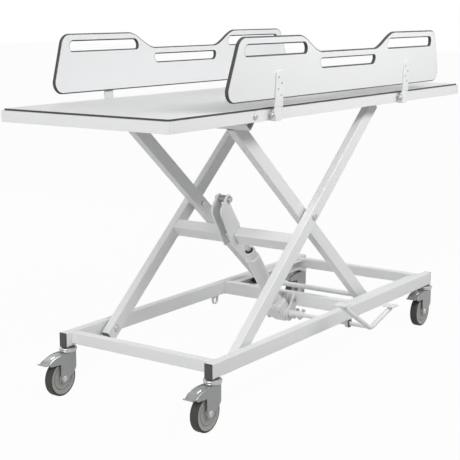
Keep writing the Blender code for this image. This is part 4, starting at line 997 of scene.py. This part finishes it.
def lever_plates(sizes):
    """Two curved cheeks on the crossbar and the pin through their eyes."""
    bar_low, bar_high = cad_box("lift_crossbar", *OUTER)
    bar = (bar_low.x + bar_high.x) / 2
    pin_place = Matrix.Rotation(-OUTER[1], 3, "Y") @ (PIVOTS["rod_pivot"] - PIVOTS["lift"])
    pin = (pin_place.x, pin_place.z)
    seat, edge, toe, toe_r = bar_high.z + GAP, bar_low.x - GAP, bar - 0.0445, 0.0095
    outline = [(edge, seat), (bar + 0.0321, seat)]
    outline += bend((bar + 0.0345, 0.062), (bar + 0.0352, 0.078), (bar + 0.0365, 0.090), 4)
    outline += arc(pin, 0.0175, -97, 97, 24)
    outline += arc((bar + 0.0055, 0.128), 0.030, 105, 172, 12)
    outline += [(toe, 0.019), *arc((toe + toe_r, -0.0085), toe_r, 180, 270, 8), (edge, -0.018)]
    for side in SIDES:
        node = f"lever_plate_{side}"
        low, high = cad_box(node, *OUTER)
        piece = plate((outline, hole(pin, 0.0083, 24)), (low.y, high.y), sizes.lever_edge, 4)
        hand_over(place_in(piece, *OUTER), "outer_frame", node)
    shank, head = 0.008, 0.0108
    face = cad_box("lever_pin", *OUTER)[1].y - 0.004
    end = face + 0.0076
    half = [(shank, face), (head, face), (head, end - 0.001), (0.0100, end), (0.003, end), (0, end - 0.0002)]
    piece = settle(spun(both_ends(half), "y", 40), PIVOTS["rod_pivot"])
    hand_over(coat(piece, "bolt"), "outer_frame", "lever_pin")


def lift_cylinder():
    """Cylinder tube with a foot ring, a drawn-in shoulder and a grooved gland, open for the rod."""
    low, high = cad_box("lift_cylinder", *PUMP)
    foot, top = low.z, high.z
    ring, body, gland, bore, groove = 0.0308, 0.0275, 0.0225, 0.015, 0.0009
    shoulder, well = top - 0.0396, foot + 0.013
    profile = [(0, foot), (0.0300, foot), (ring, foot + 0.001), (ring, foot + 0.004), (body, foot + 0.0065)]
    profile += bend((body, shoulder), (body, shoulder + 0.004), (gland + 0.002, shoulder + 0.0065), 6)
    profile += [(gland, shoulder + 0.009), (gland, top - 0.020), (gland - groove, top - 0.0192)]
    profile += [(gland - groove, top - 0.0168), (gland, top - 0.016)]
    profile += bend((gland, top - 0.0025), (gland, top), (gland - 0.0025, top), 4)
    profile += [(bore + 0.002, top), (bore, top - 0.002), (bore, well), (0, well)]
    barrel = coat(spun(profile, "z", 64), "paint")
    seat, seal_foot = bore + 0.0002, top - 0.006
    lip = [(0.013, seal_foot), (seat, seal_foot), (seat, top - 0.0024), (0.0132, top - 0.0016)]
    seal = coat(spun(lip), "plastic")
    hand_over(place_in(joined((barrel, seal)), *PUMP), "pump", "lift_cylinder")


def piston_rod():
    """Ground rod hanging from its eye."""
    low, high = cad_box("piston_rod", *ROD)
    radius, top, edge = 0.009, -0.009, 0.001
    shank = [(0, low.z), (radius - edge, low.z), (radius, low.z + edge), (radius, top), (0, top)]
    eye = bar_profile(0.0130, -high.y, high.y, edge, 0.0083)
    # The eye takes the darker zinc finish instead of ground steel, as painted shade between the lever plates
    pieces = (coat(spun(shank, "z", 40), "rod"), coat(spun(eye, "y"), "zinc"))
    hand_over(place_in(joined(pieces), *ROD), "rod", "piston_rod")


def pump_block():
    """Pump casting with chamfered corners, trunnions, a cylinder collar, plugs and screws."""
    wide, half = 0.029, 0.0385
    body = [(-0.019, -0.028), (0.019, -0.028), (wide, -0.016), (wide, 0.050), (0.023, 0.059)]
    body += [(-0.023, 0.059), (-wide, 0.050), (-wide, -0.016)]
    casting = plate([body], (-half, half), 0.0055, 0)
    upright = Matrix.Rotation(-PUMP[1], 3, "Y")
    cut_plane(casting, upright @ Vector((-0.0136, 0.0208, -0.020)), upright @ Vector((0, 0.545, -0.839)))
    boss = spun(bar_profile(0.024, -0.0412, 0.0412, 0.002), "y")
    collar = [(0, 0.044), (0.0320, 0.044), (0.0335, 0.0455), (0.0335, 0.0600), (0.0318, 0.0617), (0, 0.0617)]
    casting = soften(combine(combine(casting, boss, "UNION"), spun(collar), "UNION"), 0.0011)
    root, end, trunnion, socket, stub = 0.040, 0.052, 0.016, 0.0085, 0.011
    start = [(0, root), (trunnion, root), (trunnion, end - 0.001), (0.015, end)]
    near = start + [(socket, end), (socket, end - 0.012), (0, end - 0.012)]
    far = start + [(stub, end), (stub, end + 0.011), (stub - 0.001, end + 0.012), (0, end + 0.012)]
    painted = [cleaned(casting), spun(near, "y", 40, -1), spun(far, "y", 40)]
    plug = [(0, 0), (0.0098, 0), (0.0098, 0.003), (0.0082, 0.004), (0.0082, 0.0095), (0.0074, 0.0105)]
    plug += [(0.0040, 0.0105), (0.0036, 0.0080), (0, 0.0080)]
    fittings = [settle(spun(plug, "x", 32), (wide - 0.0005, 0.020, 0.036))]
    for y in (-0.027, 0.027):
        fittings.append(settle(dome_bolt(0.0038, 0.003, "x"), (GAP - wide, y, 0.034), facing(-1)))
    fittings.append(settle(hexagon_head(0.0085, 0.007, "x"), (wide - 0.0005, 0.0, 0.020)))
    hand_over(place_in(painted_with_bolts(painted, fittings), *PUMP), "pump", "pump_block")


def pump_bracket(sizes):
    """Back plate on the middle cross tube with two pear-shaped cheeks for the trunnions."""
    low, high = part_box("pump_bracket")
    shaft = PIVOTS["pump_tilt"]
    half = (high.y - low.y) / 2
    back, foot, top = high.x - shaft.x, low.z - shaft.z, high.z - shaft.z
    root, front, edge = back - 0.006, back - 0.0165, 0.0018
    back_outline = round_rectangle((-half, foot), (half, top), (0.003,) * 4)
    pieces = [plate([back_outline], (back - 0.008, back), sizes.plate_edge, plane="yz")]
    cheek = [(root, top), (front, top)]
    cheek += bend((back - 0.018, top - 0.004), (0.012, 0.036), (-0.004, 0.0215), 8)
    cheek += arc((0, 0), 0.0205, 108, 196, 12)
    cheek += arc((0.006, -0.0105), 0.0225, 192, 320, 18)
    cheek += [(root, foot + 0.008)]
    for way in SIDES.values():
        pieces.append(plate((cheek, hole((0, 0), 0.0163, 36)), (way * (half - 0.006), way * half), edge, 3))
    mount = round_rectangle((-0.019, 0.024), (0.019, top + 0.0065), (0.006, 0.006, 0.003, 0.003))
    pieces.append(plate([mount], (front, back - 0.007), edge, 3, plane="yz"))
    bolts = []
    for z in (0.038, 0.0635):
        bolts.append(settle(hexagon_head(0.0055, 0.0040, "x"), (front + 0.0001, 0, z), facing(-1)))
    for way in SIDES.values():
        place = (back - 0.0142, way * (half - 0.0001), 0.044)
        bolts.append(settle(hexagon_head(0.0075, 0.0052, "y"), place, facing(way)))
    hand_over(settle(painted_with_bolts(pieces, bolts), shaft), "base", "pump_bracket")


class TROLLEY_OT_hydraulics(bpy.types.Operator):
    """Models the lift lever, pump, cylinder and rod"""

    bl_idname = "trolley.hydraulics"
    bl_label = "Hydraulic unit"

    def execute(self, context):
        sizes = context.scene.trolley_sizes
        lever_plates(sizes)
        lift_cylinder()
        piston_rod()
        pump_block()
        pump_bracket(sizes)
        return {"FINISHED"}


# Pedal


def rocker_pedal(sizes):
    """Bent bar with two foot plates on a shaft."""
    low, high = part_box("rocker_pedal")
    shaft = PIVOTS["pedal_rock"]
    half = sizes.foot_plate / 2
    drop, radius, bend_r, gauge = 0.005, 0.009, 0.020, 0.004
    corner = Vector((0, low.y + half - shaft.y, -drop))
    angles = (math.radians(30.9), math.radians(15.3))
    ends = []
    for reach, angle in zip((low.x + half - shaft.x, high.x - half - shaft.x), angles):
        ends.append(corner + Vector((reach, 0, abs(reach) * math.tan(angle))))
    starts = [corner + (end - corner).normalized() * bend_r for end in ends]
    route = [ends[0], *[Vector(point) for point in bend(starts[0], corner, starts[1], 14)], ends[1]]
    pieces = [bent_bar(route, radius), round_bar(0.008, corner.y, high.y - shaft.y)]
    outline = round_rectangle((-half, -half), (half, half), (0.004,) * 4)
    for end, angle in zip(ends, angles):
        seat = end.z + radius * math.cos(angle) - 0.002
        foot = plate([outline], (seat, seat + gauge), sizes.plate_edge, plane="xy")
        pieces.append(settle(foot, (end.x, end.y, 0)))
    hand_over(settle(joined(pieces), shaft), "pedal", "rocker_pedal")


def coupling_sleeve():
    """Sleeve on the shaft with two cross bolts and their nuts."""
    low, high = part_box("coupling_sleeve")
    shaft = PIVOTS["pedal_rock"]
    outer, bore, reach, stem = 0.0138, 0.0083, high.z - shaft.z + 0.0025, 0.003
    start, end = low.y - shaft.y - 0.004, high.y - shaft.y
    pieces = [coat(spun(bar_profile(outer, start, end, 0.001, bore), "y"), "paint")]
    bolt_foot, bolt_top = 0.002 - reach, reach - 0.005
    profile = [(0, bolt_foot), (stem, bolt_foot), (stem, bolt_top), (0, bolt_top)]
    for share in (0.10, 0.57):
        parts = [spun(profile, "z", 24)]
        for z in (reach - 0.006, 0.004 - reach):
            parts.append(settle(hexagon_head(0.0080, 0.0065), (0, 0, z)))
        place = (0, start + (end - start) * share, 0)
        pieces.append(coat(settle(joined(parts), place, (0, math.radians(50), 0)), "bolt"))
    hand_over(settle(joined(pieces), shaft), "pedal", "coupling_sleeve")


class TROLLEY_OT_pedal(bpy.types.Operator):
    """Models the rocker pedal and the sleeve on its shaft"""

    bl_idname = "trolley.pedal"
    bl_label = "Pedal"

    def execute(self, context):
        rocker_pedal(context.scene.trolley_sizes)
        coupling_sleeve()
        return {"FINISHED"}


# Table


def mitred_rail(face, half_length, axis, way, low, high):
    """Channel rail with rounded folds and its two ends cut to a mitre."""
    depth, wall = 0.033, 0.003
    inner, web = face - way * depth, face - way * wall
    outline = [(face, low), (face, high), (inner, high), (inner, high - wall), (web, high - wall),
               (web, low + wall), (inner, low + wall), (inner, low)]
    piece = plate([outline], (-half_length, half_length), 0.0, plane="yz" if axis == "x" else "xz")
    for end in ENDS.values():
        corner, cut = (end * half_length, face, 0), (end, -way, 0)
        if axis == "y":
            corner, cut = (face, end * half_length, 0), (-way, end, 0)
        cut_plane(piece, Vector(corner), Vector(cut))
    return settle(soften(piece, 0.0009), (0, MIDDLE_Y, 0))


def hinge_lugs(side, way, half_width, sizes):
    """Two blocks on a side rail that carry the guard's straps."""
    low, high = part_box(f"side_rail_{side}")
    face = abs((low if way < 0 else high).y - MIDDLE_Y)
    foot, top = low.z, high.z
    half, back, lip, over = sizes.strap_width / 2 - 0.0058, half_width - 0.0006, face - 0.0038, 0.001
    seat = PIVOTS[f"guard_{side}_hinge"].z + 0.0085
    step = [(back, foot - over), (face, foot - over), (face, top + over), (lip, top + over)]
    step += [(lip, seat), (back, seat)]
    for end, end_way in ENDS.items():
        x = end_way * sizes.strap_place
        front = round_rectangle((x - half, foot), (x + half, top), (0.006, 0.006, 0.001, 0.001))
        piece = plate([front], (way * (half_width - 0.0004), way * face), 0.0)
        wide = (x - half - 0.002, x + half + 0.002)
        steps = plate([[(way * y, z) for y, z in step]], wide, 0.0, plane="yz")
        soften(combine(piece, steps, "INTERSECT"), 0.0009)
        hand_over(settle(piece, (0, MIDDLE_Y, 0)), "table", f"hinge_lug_{end}_{side}")


def table_panel(sizes):
    """Laminate board with a dark core showing at its rounded edge."""
    low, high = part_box("table_panel")
    outline = round_rectangle((low.x, low.y), (high.x, high.y), (0.008,) * 4, 10)
    piece = coat(plate([outline], (low.z, high.z), sizes.panel_edge, 1, plane="xy"), "laminate")
    paint_faces(piece, "core", lambda centre, normal: abs(normal.z) < 0.95)
    hand_over(piece, "table", "table_panel")


class TROLLEY_OT_table(bpy.types.Operator):
    """Models the table's rails, hinge lugs and panel"""

    bl_idname = "trolley.table"
    bl_label = "Table"

    def execute(self, context):
        sizes = context.scene.trolley_sizes
        low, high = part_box("end_rail_foot")
        half_length, half_width = high.x, (high.y - low.y) / 2
        for side, way in SIDES.items():
            piece = mitred_rail(way * half_width, half_length, "x", way, low.z, high.z)
            hand_over(piece, "table", f"side_rail_{side}")
            hinge_lugs(side, way, half_width, sizes)
        for end, way in ENDS.items():
            piece = mitred_rail(way * half_length, half_width, "y", way, low.z, high.z)
            hand_over(piece, "table", f"end_rail_{end}")
        table_panel(sizes)
        return {"FINISHED"}


# Guards

GUARD_TILT = math.radians(3.0)
GUARD_DIP = 0.0555


def guard_outline(half_length, foot, hump):
    """Two humps with a dip between them and slanted ends, from the foot end anticlockwise."""
    low_r, top_r = 0.038, 0.045
    top_half = half_length - 0.040
    ramp_end, dip_half, steps = 0.330, 0.182, 28
    side = arc((half_length - low_r, foot + low_r), low_r, -90, 8, 18)
    side += arc((top_half - top_r, hump - top_r), top_r, 14, 90, 16)
    for step in range(steps + 1):
        share = step / steps
        ease = share * share * (3 - 2 * share)
        side.append((ramp_end + (dip_half - ramp_end) * share, hump - GUARD_DIP * ease))
    return side + mirrored(side)


def guard_slots(half_length, hump):
    """Three hand slots; each has its wide corners where the top edge rises or falls."""
    high = hump - 0.0255
    low = high - GUARD_DIP
    small, large = 0.008, 0.018
    low_r, end_r, inner_r = 0.0095, 0.016, 0.021
    inner, end, middle = 0.284, half_length - 0.085, 0.190
    foot_slot = round_rectangle((inner, high - 0.032), (end, high), (low_r, low_r, end_r, inner_r), 10)
    middle_slot = round_rectangle((-middle, low - 0.0275), (middle, low), (large, large, small, small), 10)
    return [mirrored(foot_slot), middle_slot, foot_slot]


def guard_board(side, tilt, sizes):
    """Laminate board with hand slots; its core shows dark at every edge."""
    node = f"guard_panel_{side}"
    hinge = PIVOTS[f"guard_{side}_hinge"]
    low, high = cad_box(node, hinge, tilt, "X")
    outlines = [guard_outline(high.x, low.z, high.z), *guard_slots(high.x, high.z)]
    half = sizes.board_thickness / 2
    piece = coat(plate(outlines, (-half, half), sizes.guard_edge, 4), "laminate")
    paint_faces(piece, "core", lambda centre, normal: abs(normal.y) < 0.992)
    hand_over(settle(piece, hinge, (tilt, 0, 0)), f"guard_{side}", node)


def guard_strap(way, sizes):
    """Flat strap with two ears, hinge bolt caps and four screws, about the hinge axis."""
    half = sizes.strap_width / 2
    face_in, face_out, start, top, sunk = 0.0063, 0.0103, 0.024, 0.139, 0.0012
    web_outline = round_rectangle((-half, start), (half, top), (0.001, 0.001, 0.016, 0.016), 10)
    painted = [plate([web_outline], (way * face_in, way * face_out), sizes.plate_edge)]
    ear = arc((0, 0), face_out, 150, 360, 26)
    ear += [(face_out, start + 0.0004), (face_out - sunk, start + 0.002), (face_out - sunk, start + 0.010)]
    ear += [(face_in + sunk, start + 0.010), (face_in + sunk, start + 0.002), (face_in - 0.0025, 0.016)]
    fittings = []
    for end in ENDS.values():
        span = (end * (half - 0.0055), end * (half - 0.0002))
        painted.append(plate([[(way * y, z) for y, z in ear]], span, 0.0006, plane="yz"))
        fittings.append(settle(dome_bolt(0.0076, 0.0068, "x"), (end * half, 0, 0), facing(end)))
    for x, z in ((-0.009, 0.1185), (0.009, 0.099), (-0.009, 0.081), (0.009, 0.062)):
        screw = dome_bolt(sizes.screw_radius, 0.0022, "y")
        fittings.append(settle(screw, (x, way * (face_out - 0.0002), z), facing(way)))
    return painted_with_bolts(painted, fittings)


class TROLLEY_OT_guards(bpy.types.Operator):
    """Models the two fold-down guards and their straps"""

    bl_idname = "trolley.guards"
    bl_label = "Guards"

    def execute(self, context):
        sizes = context.scene.trolley_sizes
        for side, way in SIDES.items():
            tilt = -way * GUARD_TILT
            guard_board(side, tilt, sizes)
            model = settle(guard_strap(way, sizes), PIVOTS[f"guard_{side}_hinge"], (tilt, 0, 0))
            for end, end_way in ENDS.items():
                piece = copy_of(model, (end_way * sizes.strap_place, 0, 0))
                hand_over(piece, f"guard_{side}", f"guard_strap_{end}_{side}")
            bpy.data.objects.remove(model, do_unlink=True)
        return {"FINISHED"}


# Stage, with the camera fitted to the photograph

PHOTO_SIDE = 460.0
FOCAL_PIXELS = 1156.38
SENSOR = 36.0
EYE = (-3.5421, MIDDLE_Y - 2.3311, 1.2963)
EYE_TURN = (math.radians(90.0 - 10.834), 0.0, math.radians(-55.056))
WORLD_LEVEL = 0.27
FLOOR_GLOW = 0.965
MIDDLE = (0.0, MIDDLE_Y, 0.7)

# Each softbox: name, place, aim, width, height, power and whether reflections show it

SOFTBOXES = (
    ("key softbox", (-3.2, -2.0, 3.6), MIDDLE, 2.6, 2.6, 48.0, True),
    ("head softbox", (-4.2, 0.2, 1.3), MIDDLE, 1.6, 1.6, 50.0, True),
    ("side strip", (0.3, -1.8, 2.2), (0.3, MIDDLE_Y - 0.3, 0.9), 3.0, 0.5, 41.0, True),
    ("back softbox", (0.6, 3.6, 3.0), MIDDLE, 2.4, 2.4, 29.0, True),
    ("back fill", (0.3, 4.4, 0.8), (0.3, MIDDLE_Y, 0.8), 3.0, 1.2, 40.0, False),
)


def white_to_eye(tree):
    """One for rays from the camera, reflections and glass, and nought for the light that falls on things."""
    path = add_node(tree, "ShaderNodeLightPath", {})
    total = path["Is Camera Ray"]
    for kind in ("Is Glossy Ray", "Is Transmission Ray"):
        total = add_node(tree, "ShaderNodeMath", {0: total, 1: path[kind]}, operation="MAXIMUM")["Value"]
    return total


def make_floor():
    """White floor that glows for the eye and still takes shadows."""
    clear_selection()
    bpy.ops.mesh.primitive_plane_add(size=60.0, location=(0, 0, 0))
    floor = bpy.context.object
    floor.name = "floor"
    finish, tree, shader = new_finish("white floor")
    feed(tree, shader.inputs, {"Base Color": (0.5, 0.5, 0.5, 1.0), "Roughness": 0.9})
    glow = add_node(tree, "ShaderNodeEmission", {})["Emission"]
    factors = {0: white_to_eye(tree), 1: FLOOR_GLOW}
    share = add_node(tree, "ShaderNodeMath", factors, operation="MULTIPLY")["Value"]
    mixed = add_node(tree, "ShaderNodeMixShader", {"Fac": share, 1: shader.outputs["BSDF"], 2: glow})
    feed(tree, tree.nodes["Material Output"].inputs, {"Surface": mixed["Shader"]})
    floor.data.materials.append(finish)


def make_world():
    """Room that is white to the eye and lights the trolley less."""
    world = bpy.data.worlds.new("white room")
    world.use_nodes = True
    tree = world.node_tree
    inputs = {"Value": white_to_eye(tree), "To Min": WORLD_LEVEL, "To Max": 1.0}
    level = add_node(tree, "ShaderNodeMapRange", inputs)["Result"]
    feed(tree, tree.nodes["Background"].inputs, {"Color": (1.0, 1.0, 1.0, 1.0), "Strength": level})
    bpy.context.scene.world = world


def add_softbox(name, location, target, width, height, power, in_gloss):
    clear_selection()
    bpy.ops.object.light_add(type="AREA", location=location)
    lamp = bpy.context.object
    lamp.name = name
    lamp.data.shape = "RECTANGLE"
    lamp.data.size = width
    lamp.data.size_y = height
    lamp.data.energy = power
    lamp.rotation_euler = (Vector(location) - Vector(target)).to_track_quat("Z", "Y").to_euler()
    lamp.visible_glossy = in_gloss


class TROLLEY_OT_stage(bpy.types.Operator):
    """Sets up the white floor, the soft light and the camera"""

    bl_idname = "trolley.stage"
    bl_label = "Stage"

    def execute(self, context):
        make_floor()
        make_world()
        for softbox in SOFTBOXES:
            add_softbox(*softbox)
        bpy.ops.object.camera_add(location=EYE, rotation=EYE_TURN)
        camera = context.object
        camera.name = "photo camera"
        camera.data.sensor_width = SENSOR
        camera.data.lens = FOCAL_PIXELS / PHOTO_SIDE * SENSOR
        context.scene.camera = camera
        context.scene.view_settings.view_transform = "Standard"
        return {"FINISHED"}


class TROLLEY_PT_sidebar(bpy.types.Panel):
    """Lists the steps and the sizes in the 3D view's sidebar"""

    bl_label = "Changing trolley"
    bl_idname = "TROLLEY_PT_sidebar"
    bl_space_type = "VIEW_3D"
    bl_region_type = "UI"
    bl_category = "Trolley"

    def draw(self, context):
        for step in STEPS:
            self.layout.operator(step.bl_idname)
        for group in (context.scene.trolley_sizes, context.scene.trolley_colours):
            for key in group.bl_rna.properties.keys():
                if key not in ("rna_type", "name"):
                    self.layout.prop(group, key)


STEPS = (TROLLEY_OT_finishes, TROLLEY_OT_base, TROLLEY_OT_castors, TROLLEY_OT_scissor, TROLLEY_OT_hydraulics,
         TROLLEY_OT_pedal, TROLLEY_OT_table, TROLLEY_OT_guards, TROLLEY_OT_stage)
CLASSES = (TrolleySizes, TrolleyColours, *STEPS, TROLLEY_PT_sidebar)


def register():
    for item in CLASSES:
        bpy.utils.register_class(item)
    bpy.types.Scene.trolley_sizes = PointerProperty(type=TrolleySizes)
    bpy.types.Scene.trolley_colours = PointerProperty(type=TrolleyColours)


def unregister():
    del bpy.types.Scene.trolley_colours
    del bpy.types.Scene.trolley_sizes
    for item in reversed(CLASSES):
        bpy.utils.unregister_class(item)


def main():
    register()
    for step in STEPS:
        family, name = step.bl_idname.split(".")
        getattr(getattr(bpy.ops, family), name)()
    clear_selection()


if __name__ == "__main__":
    main()
